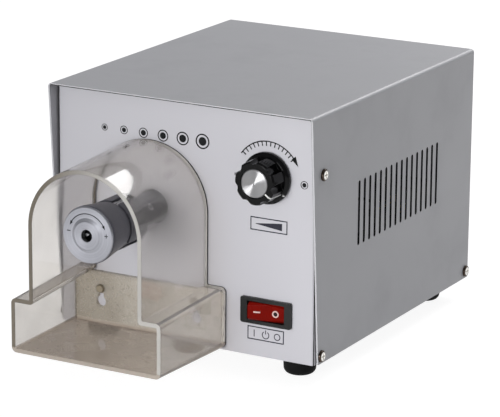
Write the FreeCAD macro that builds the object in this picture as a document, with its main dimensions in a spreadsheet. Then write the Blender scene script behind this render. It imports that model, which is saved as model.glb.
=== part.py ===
import FreeCAD, Part
import math
import os
import re

import Sketcher
from FreeCAD import Placement, Rotation, Vector

# Bench machine that strips the enamel off winding wire.
# The origin is on the bench under the middle of the machine.
# +X is right as seen from the front, +Y goes into the machine, +Z is up.

doc = FreeCAD.newDocument("wire_stripper")
sheet = doc.addObject("Spreadsheet::Sheet", "size")

SIZES = {
    # sheet-metal case
    "case_width": 162.0,
    "case_height": 136.0,
    "case_depth": 190.0,
    "cover_sheet": 1.0,
    "chassis_sheet": 1.2,
    "cover_gap": 0.5,
    "bend_radius": 2.0,
    "visor_top": 7.4,
    "visor_foot": 2.6,
    "side_flange": 14.0,
    "floor_flange": 10.0,
    # vent slots in each side of the cover
    "vent_count": 16,
    "vent_pitch": 6.41,
    "vent_width": 2.6,
    "vent_length": 36.0,
    "vent_start": 47.3,
    "vent_base": 55.1,
    # small screws
    "pan_head_radius": 3.3,
    "pan_head_height": 2.2,
    "screw_radius": 1.5,
    "screw_hole_gap": 0.1,
    "screw_end": 1.0,
    "cover_screw_head": 1.4,
    "cover_screw_length": 7.0,
    "cover_screw_top": 103.6,
    "cover_screw_low": 4.2,
    "cover_screw_front": 5.8,
    "cover_screw_back": 3.5,
    "head_crown": 0.6,
    "cross_reach": 0.55,
    "cross_half": 0.13,
    "cross_depth": 0.6,
    "hexagon_reach": 0.55,
    "nut_flats": 5.5,
    "nut_height": 2.4,
    # feet
    "foot_radius": 9.25,
    "foot_height": 11.5,
    "foot_flat": 5.4,
    "foot_taper": 0.4,
    "foot_inset": 19.0,
    "foot_setback": 18.0,
    "foot_recess": 3.7,
    "foot_web": 4.0,
    # spindle axis, from the middle of the case and from its bottom edge
    "spindle_left": 20.5,
    "spindle_height": 73.0,
    "panel_hole": 9.6,
    # motor bracket
    "bracket_setback": 12.0,
    "bracket_sheet": 3.0,
    "bracket_side_gap": 7.5,
    "bracket_foot": 62.0,
    "bracket_top": 33.0,
    "gusset_depth": 26.0,
    "gusset_height": 30.0,
    "large_head_radius": 4.0,
    "large_head_height": 2.7,
    "large_screw_radius": 2.0,
    "motor_bolt_circle": 23.0,
    "bracket_bolt_inset": 8.0,
    "bracket_bolt_gap": 2.0,
    # motor
    "motor_radius": 31.5,
    "can_wall": 2.0,
    "can_length": 70.0,
    "bell_flange": 5.0,
    "bell_spigot": 6.0,
    "bell_wall": 3.0,
    "rear_bell_length": 24.0,
    "pilot_radius": 11.9,
    "pilot_length": 3.0,
    "fit_gap": 0.04,
    "magnet_inner": 23.6,
    "magnet_length": 48.0,
    "magnet_angle": 120.0,
    "core_radius": 22.8,
    "core_length": 46.0,
    "core_setback": 14.0,
    "core_slots": 12,
    "slot_width": 3.0,
    "slot_depth": 8.0,
    "coil_radius": 19.5,
    "coil_length": 7.0,
    "coil_rounding": 2.8,
    "commutator_radius": 9.2,
    "commutator_length": 12.0,
    "commutator_gap": 3.2,
    "segment_count": 24,
    "segment_slot": 0.4,
    "segment_slot_depth": 0.8,
    "shaft_radius": 4.0,
    "bearing_radius": 11.0,
    "bearing_width": 7.0,
    "race_wall": 2.2,
    "ball_radius": 1.95,
    "ball_count": 7,
    "brush_width": 6.0,
    "brush_height": 5.0,
    "brush_length": 11.0,
    "brush_tube": 5.6,
    "brush_bore": 4.3,
    "brush_cap_length": 7.0,
    "cap_slot_width": 1.0,
    "cap_slot_depth": 1.2,
    "shaft_gap": 1.0,
    # small chamfers, and how far a cutting shape runs past what it cuts
    "edge_break": 0.5,
    "cut_margin": 1.0,
    # hub behind the head
    "hub_radius": 8.5,
    "hub_front": 24.0,
    "hub_back": 7.0,
    "hub_wall": 2.0,
    "grub_radius": 2.0,
    "grub_length": 4.2,
    "grub_setback": 14.0,
    "grub_azimuth": 60.0,
    # head body with three slots for the blade arms
    "collar_radius": 13.8,
    "collar_front": 42.0,
    "collar_back": 27.5,
    "barrel_radius": 11.5,
    "barrel_front": 56.0,
    "wire_bore": 3.2,
    "arm_slot": 4.2,
    "arm_thickness": 3.6,
    "arm_inner": 4.6,
    "arm_outer": 10.6,
    "arm_front": 60.4,
    "arm_back": 29.5,
    "arm_end_gap": 1.0,
    "weight_outer": 12.6,
    "weight_front": 40.0,
    "weight_slope": 2.8,
    "pivot_setback": 38.0,
    "pivot_offset": 9.2,
    "pivot_radius": 1.25,
    "pivot_length": 17.0,
    "blade_azimuth": 15.0,
    "blade_tip": 1.3,
    "blade_edge": 0.5,
    "blade_root": 3.0,
    "blade_length": 4.2,
    "ring_wire": 0.45,
    "ring_gap": 0.35,
    "ring_setback": 47.0,
    # adjusting cap of the head
    "sleeve_front_radius": 15.6,
    "sleeve_back_radius": 13.1,
    "sleeve_front": 62.3,
    "sleeve_mouth": 13.4,
    "cam_radius": 9.6,
    "cam_offset": 2.4,
    "cam_front": 60.7,
    "cam_back": 57.0,
    "cap_swing": 30.0,
    "cap_gap": 0.5,
    "cam_wall": 0.4,
    "face_radius": 15.25,
    "face_plate": 1.5,
    "face_boss": 9.3,
    "boss_slope": 1.9,
    "face_boss_rise": 1.1,
    "face_spigot": 1.2,
    "wire_hole": 3.0,
    "running_gap": 0.06,
    # clear guard with its chip tray
    "guard_left": 21.2,
    "guard_reach": 66.0,
    "guard_gap": 1.0,
    "guard_wall": 2.2,
    "side_draft": 1.6,
    "base_draft": 1.0,
    "top_draft": 3.0,
    "arch_drop": 1.0,
    "tray_half_width": 47.7,
    "tray_base": 1.2,
    "tray_top": 35.4,
    "tray_corner": 3.0,
    "tray_nook": 0.8,
    "arch_radius": 36.2,
    "arch_centre": 74.5,
    "tray_back_top": 33.0,
    "keyhole_spread": 29.5,
    "keyhole_round": 3.1,
    "keyhole_low": 16.0,
    "keyhole_high": 23.4,
    "guard_head_radius": 2.4,
    "guard_head_height": 1.2,
    "guard_collar": 3.4,
    "guard_shank_gap": 0.3,
    # knob and potentiometer
    "knob_left": 2.75,
    "knob_height": 99.4,
    "knob_gap": 0.8,
    "skirt_radius": 14.0,
    "skirt_thick": 2.4,
    "grip_radius": 12.2,
    "grip_front_radius": 11.8,
    "knob_reach": 15.0,
    "knob_chamfer": 0.9,
    "flute_count": 7,
    "flute_radius": 3.0,
    "flute_offset": 13.2,
    "pointer_angle": 126.0,
    "insert_radius": 7.9,
    "insert_depth": 0.9,
    "insert_gap": 0.1,
    "insert_crown": 0.25,
    "knob_bore_depth": 12.0,
    "knob_hollow": 8.0,
    "knob_hollow_depth": 3.6,
    "pot_shaft_radius": 3.0,
    "pot_shaft_reach": 12.0,
    "pot_bush_radius": 3.6,
    "pot_bush_reach": 3.2,
    "pot_radius": 8.2,
    "pot_depth": 9.0,
    "pot_nut_flats": 10.0,
    "pot_nut_height": 2.0,
    "pot_shaft_tail": 2.0,
    "tag_width": 1.2,
    "tag_thick": 0.8,
    "tag_length": 4.0,
    "tag_pitch": 4.0,
    "knob_grub_length": 5.0,
    "knob_grub_wall": 1.0,
    # rocker switch
    "switch_left": 2.45,
    "switch_height": 25.5,
    "bezel_width": 30.5,
    "bezel_height": 14.5,
    "bezel_proud": 1.8,
    "bezel_corner": 1.2,
    "switch_body_width": 27.0,
    "switch_body_height": 12.4,
    "switch_body_depth": 20.0,
    "rocker_mouth_width": 22.4,
    "rocker_mouth_height": 10.4,
    "rocker_well": 9.0,
    "rocker_gap": 0.35,
    "rocker_half_length": 10.3,
    "rocker_rise": 1.0,
    "rocker_dip": 1.0,
    "rocker_bevel": 1.5,
    "rocker_skirt": 3.2,
    "rocker_foot": 1.5,
    "rocker_taper": 0.8,
    "rocker_pivot": 1.5,
    "rocker_tilt": 9.0,
    "trunnion_radius": 1.2,
    "terminal_width": 4.8,
    "terminal_thick": 0.8,
    "terminal_length": 8.0,
    "terminal_pitch": 8.0,
    "terminal_seat": 2.0,
    # power inlet with its fuse drawer, in the back panel
    "inlet_inset": 37.0,
    "inlet_height": 40.0,
    "inlet_flange": 3.0,
    "inlet_flange_width": 50.0,
    "inlet_flange_height": 34.0,
    "inlet_corner": 3.0,
    "inlet_body_width": 27.0,
    "inlet_body_height": 31.0,
    "inlet_body_depth": 23.0,
    "inlet_cutout_gap": 0.3,
    "socket_width": 24.0,
    "socket_height": 16.4,
    "socket_chamfer": 4.6,
    "socket_depth": 16.0,
    "socket_rise": 5.2,
    "pin_width": 4.0,
    "pin_thick": 2.0,
    "pin_spread": 7.0,
    "pin_offset": 3.0,
    "earth_offset": 3.0,
    "pin_recess": 2.0,
    "pin_tail": 7.0,
    "inlet_screw_spread": 20.0,
    "drawer_width": 23.0,
    "drawer_height": 7.6,
    "drawer_depth": 15.0,
    "drawer_drop": 9.6,
    "drawer_gap": 0.3,
    "drawer_lip": 1.0,
    "drawer_wall": 0.8,
    "drawer_front": 5.5,
    "fuse_radius": 2.6,
    "fuse_length": 20.0,
    "fuse_cap_length": 5.0,
    "fuse_cap_wall": 0.25,
    # control board
    "board_gap": 4.5,
    "board_side_gap": 6.3,
    "board_front": 44.0,
    "board_length": 84.0,
    "board_thick": 1.6,
    "board_post": 8.0,
    "board_post_radius": 3.0,
    "board_inset": 4.0,
    "sink_width": 40.0,
    "sink_depth": 18.0,
    "sink_height": 32.0,
    "sink_plate": 4.0,
    "fin_count": 7,
    "fin_thick": 1.6,
    "transistor_width": 10.0,
    "transistor_height": 15.0,
    "transistor_thick": 4.4,
    "transistor_lift": 6.0,
    "leg_width": 0.8,
    "leg_thick": 0.6,
    "leg_pitch": 2.54,
    "capacitor_right": 19.0,
    "capacitor_back": 21.0,
    "capacitor_radius": 9.0,
    "capacitor_height": 26.0,
    "capacitor_rim": 1.0,
    "groove_height": 22.4,
    "groove_depth": 0.7,
    # wiring
    "wire_radius": 0.9,
    "wire_setback": 0.45,
    "wire_side_gap": 6.5,
    "earth_right": 20.0,
    "earth_back": 146.0,
    "earth_ring": 3.2,
    "earth_tail": 8.0,
    "earth_sheet": 0.8,
    "brush_lead_right": 6.0,
    "brush_lead_back": 42.0,
    "brush_lead_pitch": 4.0,
    "pot_lead_back": 82.0,
}

# Heights and depths that several pieces share, as formulas on the sheet.
PANEL = "((guard_reach - case_depth - inlet_flange - pan_head_height) / 2)"
HALF = "(case_width / 2 - cover_sheet - cover_gap)"
CHASSIS_TOP = "(case_height - cover_sheet - cover_gap)"
SCREW_HOLE = "(screw_radius + screw_hole_gap)"
LARGE_HOLE = "(large_screw_radius + screw_hole_gap)"
SPINDLE_Z = "(foot_height + spindle_height)"
BELL = "(bracket_setback + bracket_sheet)"
CAN = f"({BELL} + bell_flange)"
REAR = f"({CAN} + can_length)"
MOTOR_END = f"({REAR} + rear_bell_length)"
CORE = f"({CAN} + core_setback)"
CORE_END = f"({CORE} + core_length)"
COMMUTATOR = f"({CORE_END} + coil_length + commutator_gap)"
BRUSH = f"({COMMUTATOR} + commutator_length / 2)"
FRONT_BEARING = f"({BELL} + bell_wall)"
REAR_BEARING = f"({MOTOR_END} - bell_wall - bearing_width)"
BOARD_TOP = "(chassis_sheet + board_post + board_thick)"
BRACKET_HALF = "(case_width / 2 - foot_inset - spindle_left - bracket_side_gap)"
BOARD_LEFT = f"({BRACKET_HALF} - spindle_left + board_gap)"
BOARD_WIDTH = f"({HALF} - chassis_sheet - board_side_gap - {BOARD_LEFT})"
CONTROLS = "((case_width / 2 + tray_half_width - guard_left) / 2)"
KNOB_X = f"({CONTROLS} - knob_left)"
SWITCH_X = f"({CONTROLS} - switch_left)"
INLET_X = "(case_width / 2 - inlet_inset)"
MID_RACE = "((bearing_radius + shaft_radius) / 2)"

UP = Rotation()
TO_BACK = Rotation(Vector(1, 0, 0), -90)
TO_FRONT = Rotation(Vector(1, 0, 0), 90)
TO_RIGHT = Rotation(Vector(0, 1, 0), 90)
TO_LEFT = Rotation(Vector(0, 1, 0), -90)
DOWN = Rotation(Vector(1, 0, 0), 180)

ON_CASE = ("0", PANEL, "foot_height")
ON_SPINDLE = ("-spindle_left", PANEL, SPINDLE_Z)

WORD = re.compile(r"[a-z_]+")


def fill_sheet():
    """Writes every driving size into the sheet, with its name beside it."""
    for row, (name, value) in enumerate(SIZES.items(), start=1):
        sheet.set(f"A{row}", name)
        sheet.set(f"B{row}", str(value))
        sheet.setAlias(f"B{row}", name)
    doc.recompute()


def rule(formula):
    """Turns a formula in the sizes' plain names into one on the sheet's cells."""
    return WORD.sub(lambda word: f"size.{word[0]}" if word[0] in SIZES else word[0], str(formula))


def number(formula):
    """The present value of a formula."""
    result = sheet.evalExpression(rule(formula))
    return float(getattr(result, "Value", result))


def bind(thing, path, formula):
    thing.setExpression(path, rule(formula))


def place(thing, spot, turned=UP):
    """Turns a piece and ties its place to the sheet."""
    thing.Placement = Placement(Vector(), turned)
    for letter, formula in zip("xyz", spot):
        bind(thing, f"Placement.Base.{letter}", formula)
    return thing


def shift(spot, right="0", back="0", up="0"):
    """A spot moved by formulas along the three axes."""
    return tuple(f"({old}) + ({new})" for old, new in zip(spot, (right, back, up)))


# Sketches

def new_body(label, spot, turned=UP):
    body = doc.addObject("PartDesign::Body", label)
    body.Label = label
    return place(body, spot, turned)


def new_sketch(body, role, offset="0"):
    """A sketch on one of the body's own planes, moved along the plane's normal."""
    sketch = body.newObject("Sketcher::SketchObject", f"{body.Name}_outline")
    plane = next(item for item in body.Origin.OriginFeatures if item.Role == role)
    sketch.AttachmentSupport = (plane, [""])
    sketch.MapMode = "FlatFace"
    bind(sketch, "AttachmentOffset.Base.z", offset)
    return sketch


def fix(sketch, curve, point, x=None, y=None):
    """Ties a point of a curve to the sheet."""
    for kind, formula in (("DistanceX", x), ("DistanceY", y)):
        if formula is None:
            continue
        constraint = Sketcher.Constraint(kind, -1, 1, curve, point, number(formula))
        index = sketch.addConstraint(constraint)
        bind(sketch, f"Constraints[{index}]", formula)


def draw(sketch, corners):
    """Draws a closed outline. A corner is (x, y), or (x, y, centre) where an arc
    about that centre runs anticlockwise to the next corner, or
    (x, y, centre, "clockwise")."""
    first = sketch.GeometryCount
    count = len(corners)
    spots = [Vector(number(corner[0]), number(corner[1]), 0) for corner in corners]
    starts = [2 if len(corner) == 4 else 1 for corner in corners]
    for index, corner in enumerate(corners):
        here = spots[index]
        there = spots[(index + 1) % count]
        if len(corner) == 2:
            sketch.addGeometry(Part.LineSegment(here, there), False)
            continue
        if len(corner) == 4:
            here, there = there, here
        centre = Vector(number(corner[2][0]), number(corner[2][1]), 0)
        begin = math.atan2(here.y - centre.y, here.x - centre.x)
        end = math.atan2(there.y - centre.y, there.x - centre.x)
        if end <= begin:
            end += 2 * math.pi
        circle = Part.Circle(centre, Vector(0, 0, 1), here.distanceToPoint(centre))
        sketch.addGeometry(Part.ArcOfCircle(circle, begin, end), False)
    for index, corner in enumerate(corners):
        after = (index + 1) % count
        joint = Sketcher.Constraint("Coincident", first + index, 3 - starts[index],
                                    first + after, starts[after])
        sketch.addConstraint(joint)
    for index, corner in enumerate(corners):
        fix(sketch, first + index, starts[index], corner[0], corner[1])
        if len(corner) > 2:
            chord = spots[(index + 1) % count] - spots[index]
            if abs(chord.x) > abs(chord.y):
                fix(sketch, first + index, 3, y=corner[2][1])
            else:
                fix(sketch, first + index, 3, x=corner[2][0])


def draw_circle(sketch, x, y, radius):
    spot = Vector(number(x), number(y), 0)
    curve = sketch.addGeometry(Part.Circle(spot, Vector(0, 0, 1), number(radius)), False)
    index = sketch.addConstraint(Sketcher.Constraint("Radius", curve, number(radius)))
    bind(sketch, f"Constraints[{index}]", radius)
    fix(sketch, curve, 3, x, y)


def rectangle(left, right, low, high):
    return [(left, low), (right, low), (right, high), (left, high)]


def rounded(left, right, low, high, radius):
    """The corners of a rectangle with round corners."""
    x0, x1 = f"{left} + {radius}", f"{right} - {radius}"
    y0, y1 = f"{low} + {radius}", f"{high} - {radius}"
    return [
        (x0, low), (x1, low, (x1, y0)),
        (right, y0), (right, y1, (x1, y1)),
        (x1, high), (x0, high, (x0, y1)),
        (left, y1), (left, y0, (x0, y0)),
    ]


# Features

def pad(body, sketch, length, backwards=False):
    feature = body.newObject("PartDesign::Pad", f"{body.Name}_pad")
    feature.Profile = sketch
    bind(feature, "Length", length)
    feature.Reversed = backwards
    return feature


def pocket(body, sketch, length=None, backwards=False):
    """Cuts against the sketch's normal, through all where no length is given."""
    feature = body.newObject("PartDesign::Pocket", f"{body.Name}_pocket")
    feature.Profile = sketch
    if length is None:
        feature.Type = "ThroughAll"
    else:
        bind(feature, "Length", length)
    feature.Reversed = backwards
    return feature


def revolve(body, sketch, angle="360"):
    """Turns a profile about the sketch's upright axis."""
    feature = body.newObject("PartDesign::Revolution", f"{body.Name}_turning")
    feature.Profile = sketch
    feature.ReferenceAxis = (sketch, ["V_Axis"])
    bind(feature, "Angle", angle)
    return feature


def ring_pattern(body, feature, sketch, count):
    """Repeats a feature about the normal of its own sketch."""
    pattern = body.newObject("PartDesign::PolarPattern", f"{body.Name}_ring")
    pattern.Originals = [feature]
    pattern.Axis = (sketch, ["N_Axis"])
    pattern.Angle = 360
    bind(pattern, "Occurrences", count)
    body.Tip = pattern
    return pattern


def row_pattern(body, feature, sketch, axis, length, count):
    pattern = body.newObject("PartDesign::LinearPattern", f"{body.Name}_row")
    pattern.Originals = [feature]
    pattern.Direction = (sketch, [axis])
    bind(pattern, "Length", length)
    bind(pattern, "Occurrences", count)
    body.Tip = pattern
    return pattern


def turned(label, spot, profile, facing=UP, role="XY_Plane"):
    """A turned piece. Its profile gives radius and place along the body's Y
    axis, or along its Z axis on the XZ plane."""
    body = new_body(label, spot, facing)
    sketch = new_sketch(body, role)
    draw(sketch, profile)
    revolve(body, sketch)
    return body


def block(label, spot, wide, deep, high, facing=UP):
    thing = doc.addObject("Part::Box", label)
    bind(thing, "Length", wide)
    bind(thing, "Width", deep)
    bind(thing, "Height", high)
    return place(thing, spot, facing)


def rod(label, spot, radius, length, facing=UP):
    thing = doc.addObject("Part::Cylinder", label)
    bind(thing, "Radius", radius)
    bind(thing, "Height", length)
    return place(thing, spot, facing)


def joined(label, things):
    result = doc.addObject("Part::MultiFuse", label)
    result.Shapes = things
    return result


def cut(label, base, tools):
    """One piece with other shapes taken out of it."""
    tool = tools[0] if len(tools) == 1 else joined(f"{label}_tool", tools)
    result = doc.addObject("Part::Cut", label)
    result.Base = base
    result.Tool = tool
    return result


def copy_of(master, spot, facing=UP):
    link = doc.addObject("App::Link", f"{master.Name}_copy")
    link.LinkedObject = master
    link.LinkTransform = False
    return place(link, spot, facing)


def group(label, things):
    """Like pieces that share one node, as separate solids."""
    result = doc.addObject("Part::Compound", label)
    result.Links = things
    return result


# Fasteners

def pan_screw(label, head_radius, head_height, shank_radius, length):
    """A pan-head screw with a cross recess. Its head stands up from the origin."""
    crown = f"head_crown * {head_height}"
    rim = f"{head_radius} - {crown}"
    low = f"{head_height} - {crown}"
    screw = turned(label, ("0", "0", "0"), [
        ("0", f"-({length})"), (shank_radius, f"-({length})"),
        (shank_radius, "0"), (head_radius, "0"),
        (head_radius, low, (rim, low)),
        (rim, head_height), ("0", head_height),
    ], role="XZ_Plane")
    recess = new_sketch(screw, "XY_Plane", head_height)
    far = f"cross_reach * {head_radius}"
    near = f"cross_half * {head_radius}"
    draw(recess, [
        (far, f"-{near}"), (far, near), (near, near), (near, far),
        (f"-{near}", far), (f"-{near}", near), (f"-{far}", near), (f"-{far}", f"-{near}"),
        (f"-{near}", f"-{near}"), (f"-{near}", f"-{far}"), (near, f"-{far}"), (near, f"-{near}"),
    ])
    pocket(screw, recess, f"cross_depth * {head_height}")
    return screw


def hex_nut(label, flats, height, bore):
    """A hexagon nut that stands up from the origin."""
    nut = new_body(label, ("0", "0", "0"))
    sketch = new_sketch(nut, "XY_Plane")
    draw(sketch, [(f"{flats} / sqrt(3) * cos({60 * side})", f"{flats} / sqrt(3) * sin({60 * side})")
                  for side in range(6)])
    draw_circle(sketch, "0", "0", bore)
    pad(nut, sketch, height)
    return nut


# Case

def make_chassis():
    """Front panel, floor and back panel of one bent sheet, with side flanges."""
    body = new_body("chassis", ON_CASE)
    outer = rounded(f"-{HALF}", HALF, "0", "case_depth", "bend_radius")
    inner = rounded(f"-{HALF} + chassis_sheet", f"{HALF} - chassis_sheet", "chassis_sheet",
                    "case_depth - chassis_sheet", "(bend_radius - chassis_sheet)")
    walls = new_sketch(body, "XY_Plane")
    draw(walls, outer)
    draw(walls, inner)
    pad(body, walls, CHASSIS_TOP)
    floor = new_sketch(body, "XY_Plane")
    draw(floor, outer)
    pad(body, floor, "chassis_sheet")

    window = new_sketch(body, "YZ_Plane", "case_width")
    draw(window, rectangle("side_flange", "case_depth - side_flange", "floor_flange", "case_height"))
    pocket(body, window)

    flange_holes = new_sketch(body, "YZ_Plane", "case_width")
    for spot in COVER_SCREW_SPOTS:
        draw_circle(flange_holes, spot[0], spot[1], SCREW_HOLE)
    pocket(body, flange_holes)

    panel = new_sketch(body, "XZ_Plane", "case_width")
    draw_circle(panel, "-spindle_left", "spindle_height", "panel_hole")
    draw_circle(panel, KNOB_X, "knob_height", "(pot_bush_radius + running_gap)")
    for side in ("-", "+"):
        draw_circle(panel, f"-guard_left {side} keyhole_spread", "keyhole_high", SCREW_HOLE)
    half_width = "(switch_body_width / 2 + rocker_gap / 2)"
    half_height = "(switch_body_height / 2 + rocker_gap / 2)"
    draw(panel, rectangle(f"{SWITCH_X} - {half_width}", f"{SWITCH_X} + {half_width}",
                          f"switch_height - {half_height}", f"switch_height + {half_height}"))
    pocket(body, panel, "case_width + side_flange / 2")

    back = new_sketch(body, "XZ_Plane", "-case_depth - case_width")
    half_width = "(inlet_body_width / 2 + inlet_cutout_gap)"
    half_height = "(inlet_body_height / 2 + inlet_cutout_gap)"
    draw(back, rectangle(f"{INLET_X} - {half_width}", f"{INLET_X} + {half_width}",
                         f"inlet_height - {half_height}", f"inlet_height + {half_height}"))
    for side in ("-", "+"):
        draw_circle(back, f"{INLET_X} {side} inlet_screw_spread", "inlet_height", SCREW_HOLE)
    pocket(body, back, "case_width + side_flange / 2", backwards=True)

    bottom = new_sketch(body, "XY_Plane", "case_width")
    for x, y in FOOT_SPOTS:
        draw_circle(bottom, x, y, SCREW_HOLE)
    for x, y in BRACKET_BOLT_SPOTS:
        draw_circle(bottom, f"{x} - spindle_left", y, LARGE_HOLE)
    for x, y in BOARD_SPOTS:
        draw_circle(bottom, x, y, SCREW_HOLE)
    draw_circle(bottom, "earth_right", "earth_back", SCREW_HOLE)
    pocket(body, bottom, "case_width + chassis_sheet")
    return body


def make_cover():
    """Top and two sides of one sheet. The front edge leans out like a visor."""
    body = new_body("top_cover", ON_CASE)
    half, inside = "case_width / 2", "(case_width / 2 - cover_sheet)"
    bend = "(case_width / 2 - bend_radius)"
    rise = "(case_height - bend_radius)"
    under = "(case_height - cover_sheet)"
    shape = new_sketch(body, "XZ_Plane", "visor_top")
    draw(shape, [
        (f"-{half}", "0"), (f"-{half}", rise, (f"-{bend}", rise), "clockwise"),
        (f"-{bend}", "case_height"), (bend, "case_height", (bend, rise), "clockwise"),
        (half, rise), (half, "0"), (inside, "0"), (inside, rise, (bend, rise)),
        (bend, under), (f"-{bend}", under, (f"-{bend}", rise)),
        (f"-{inside}", rise), (f"-{inside}", "0"),
    ])
    pad(body, shape, "visor_top + case_depth", backwards=True)

    lean = "((visor_top + visor_foot) / case_height)"
    slant = new_sketch(body, "YZ_Plane", "case_width")
    draw(slant, [
        ("-visor_top - cover_sheet", "-cover_sheet"),
        (f"visor_foot + {lean} * cover_sheet", "-cover_sheet"),
        (f"-visor_top - {lean} * cover_sheet", "case_height + cover_sheet"),
        ("-visor_top - cover_sheet", "case_height + cover_sheet"),
    ])
    pocket(body, slant)

    holes = new_sketch(body, "YZ_Plane", "case_width")
    for spot in COVER_SCREW_SPOTS:
        draw_circle(holes, spot[0], spot[1], SCREW_HOLE)
    pocket(body, holes)

    slot = new_sketch(body, "YZ_Plane", "case_width")
    low = "(vent_base + vent_width / 2)"
    high = "(vent_base + vent_length - vent_width / 2)"
    left = "(vent_start - vent_width / 2)"
    right = "(vent_start + vent_width / 2)"
    draw(slot, [
        (left, low, ("vent_start", low)), (right, low),
        (right, high, ("vent_start", high)), (left, high),
    ])
    first = pocket(body, slot)
    row_pattern(body, first, slot, "H_Axis", "vent_pitch * (vent_count - 1)", "vent_count")
    return body


def make_cover_screws():
    master = pan_screw("cover_screw", "pan_head_radius", "cover_screw_head", "screw_radius",
                       "cover_screw_length")
    copies = []
    for y, z in COVER_SCREW_SPOTS:
        copies.append(copy_of(master, shift(ON_CASE, "case_width / 2", y, z), TO_RIGHT))
        copies.append(copy_of(master, shift(ON_CASE, "-case_width / 2", y, z), TO_LEFT))
    return group("cover_screws", copies)


def make_feet():
    """Dome feet of rubber, each with a deep recess for its screw."""
    corner = "(foot_radius - foot_taper - foot_flat)"
    centre = ("foot_flat", f"({corner} - foot_height)")
    master = turned("rubber_foot", ("0", "0", "0"), [
        (SCREW_HOLE, "0"), (SCREW_HOLE, "-foot_web"), ("foot_recess", "-foot_web"),
        ("foot_recess", "-foot_height"),
        ("foot_flat", "-foot_height", centre),
        ("foot_radius - foot_taper", centre[1]), ("foot_radius", "0"),
    ], role="XZ_Plane")
    return group("rubber_feet", [copy_of(master, shift(ON_CASE, x, y)) for x, y in FOOT_SPOTS])


def make_foot_screws():
    master = pan_screw("foot_screw", "pan_head_radius", "pan_head_height", "screw_radius",
                       "foot_web + chassis_sheet + nut_height + screw_end")
    return group("foot_screws", [copy_of(master, shift(ON_CASE, x, y, "-foot_web"), DOWN)
                                 for x, y in FOOT_SPOTS])


def make_nuts():
    """The nuts of the feet, of the guard's screws and of the power inlet."""
    master = hex_nut("small_nut", "nut_flats", "nut_height", SCREW_HOLE)
    copies = [copy_of(master, shift(ON_CASE, x, y, "chassis_sheet")) for x, y in FOOT_SPOTS]
    for side in ("-", "+"):
        spot = shift(ON_CASE, f"{INLET_X} {side} inlet_screw_spread",
                     "case_depth - chassis_sheet - nut_height", "inlet_height")
        copies.append(copy_of(master, spot, TO_BACK))
        spot = shift(ON_CASE, f"-guard_left {side} keyhole_spread", "chassis_sheet",
                     "keyhole_high")
        copies.append(copy_of(master, spot, TO_BACK))
    return group("small_nuts", copies)


COVER_SCREW_SPOTS = [
    ("cover_screw_front", "cover_screw_top"),
    ("cover_screw_front", "cover_screw_low"),
    ("(case_depth - cover_screw_back)", "cover_screw_low"),
]
FOOT_SPOTS = [(x, y) for x in ("-(case_width / 2 - foot_inset)", "(case_width / 2 - foot_inset)")
              for y in ("foot_setback", "(case_depth - foot_setback)")]
BRACKET_BOLT_SPOTS = [(f"{side}({BRACKET_HALF} - bracket_bolt_inset)", y)
                      for side in ("-", "")
                      for y in ("(foot_setback + foot_radius + large_head_radius + bracket_bolt_gap)",
                                f"({BELL} + bracket_foot - bracket_bolt_inset)")]
BOARD_SPOTS = [(x, y) for x in (f"({BOARD_LEFT} + board_inset)",
                                f"({BOARD_LEFT} + {BOARD_WIDTH} - board_inset)")
               for y in ("(board_front + board_inset)",
                         "(board_front + board_length - board_inset)")]


# Motor

def make_bracket():
    """An angle bracket of plate with two gussets: its face holds the motor."""
    corner = shift(ON_SPINDLE, f"-{BRACKET_HALF}", "bracket_setback",
                   "chassis_sheet - spindle_height")
    upright = block("bracket_plate", corner, f"2 * {BRACKET_HALF}", "bracket_sheet",
                    "spindle_height + bracket_top - chassis_sheet")
    foot = block("bracket_base", corner, f"2 * {BRACKET_HALF}", "bracket_sheet + bracket_foot",
                 "bracket_sheet")
    gussets = []
    for side in (f"-{BRACKET_HALF}", f"{BRACKET_HALF} - bracket_sheet"):
        gusset = new_body("bracket_gusset", shift(ON_SPINDLE, side))
        sketch = new_sketch(gusset, "YZ_Plane")
        base = "(chassis_sheet + bracket_sheet / 2 - spindle_height)"
        front = "(bracket_setback + bracket_sheet / 2)"
        draw(sketch, [
            (front, base), (f"{front} + gusset_depth", base), (front, f"{base} + gusset_height"),
        ])
        pad(gusset, sketch, "bracket_sheet")
        gussets.append(gusset)
    frame = joined("bracket_frame", [upright, foot, *gussets])
    holes = [rod("pilot_hole", shift(ON_SPINDLE, back="bracket_setback - cut_margin"),
                 "pilot_radius + fit_gap", "bracket_sheet + 2 * cut_margin", TO_BACK)]
    for x, z in MOTOR_BOLT_SPOTS:
        holes.append(rod("motor_bolt_hole",
                         shift(ON_SPINDLE, x, "bracket_setback - cut_margin", z),
                         LARGE_HOLE, "bracket_sheet + 2 * cut_margin", TO_BACK))
    for x, y in BRACKET_BOLT_SPOTS:
        holes.append(rod("bracket_bolt_hole", shift(ON_SPINDLE, x, y, "-spindle_height"),
                         LARGE_HOLE, "bracket_sheet * 2"))
    return cut("motor_bracket", frame, holes)


MOTOR_BOLT_SPOTS = [(f"motor_bolt_circle * cos({angle})", f"motor_bolt_circle * sin({angle})")
                    for angle in (45, 135, 225, 315)]


def make_motor_screws():
    master = pan_screw("motor_screw", "large_head_radius", "large_head_height",
                       "large_screw_radius", "bracket_sheet + bell_flange")
    return group("motor_screws", [copy_of(master, shift(ON_SPINDLE, x, "bracket_setback", z),
                                          TO_FRONT) for x, z in MOTOR_BOLT_SPOTS])


def make_bracket_screws():
    master = pan_screw("bracket_screw", "large_head_radius", "large_head_height",
                       "large_screw_radius", "chassis_sheet + bracket_sheet + screw_end")
    return group("bracket_screws", [copy_of(master, shift(ON_CASE, f"{x} - spindle_left", y), DOWN)
                                    for x, y in BRACKET_BOLT_SPOTS])


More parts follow.
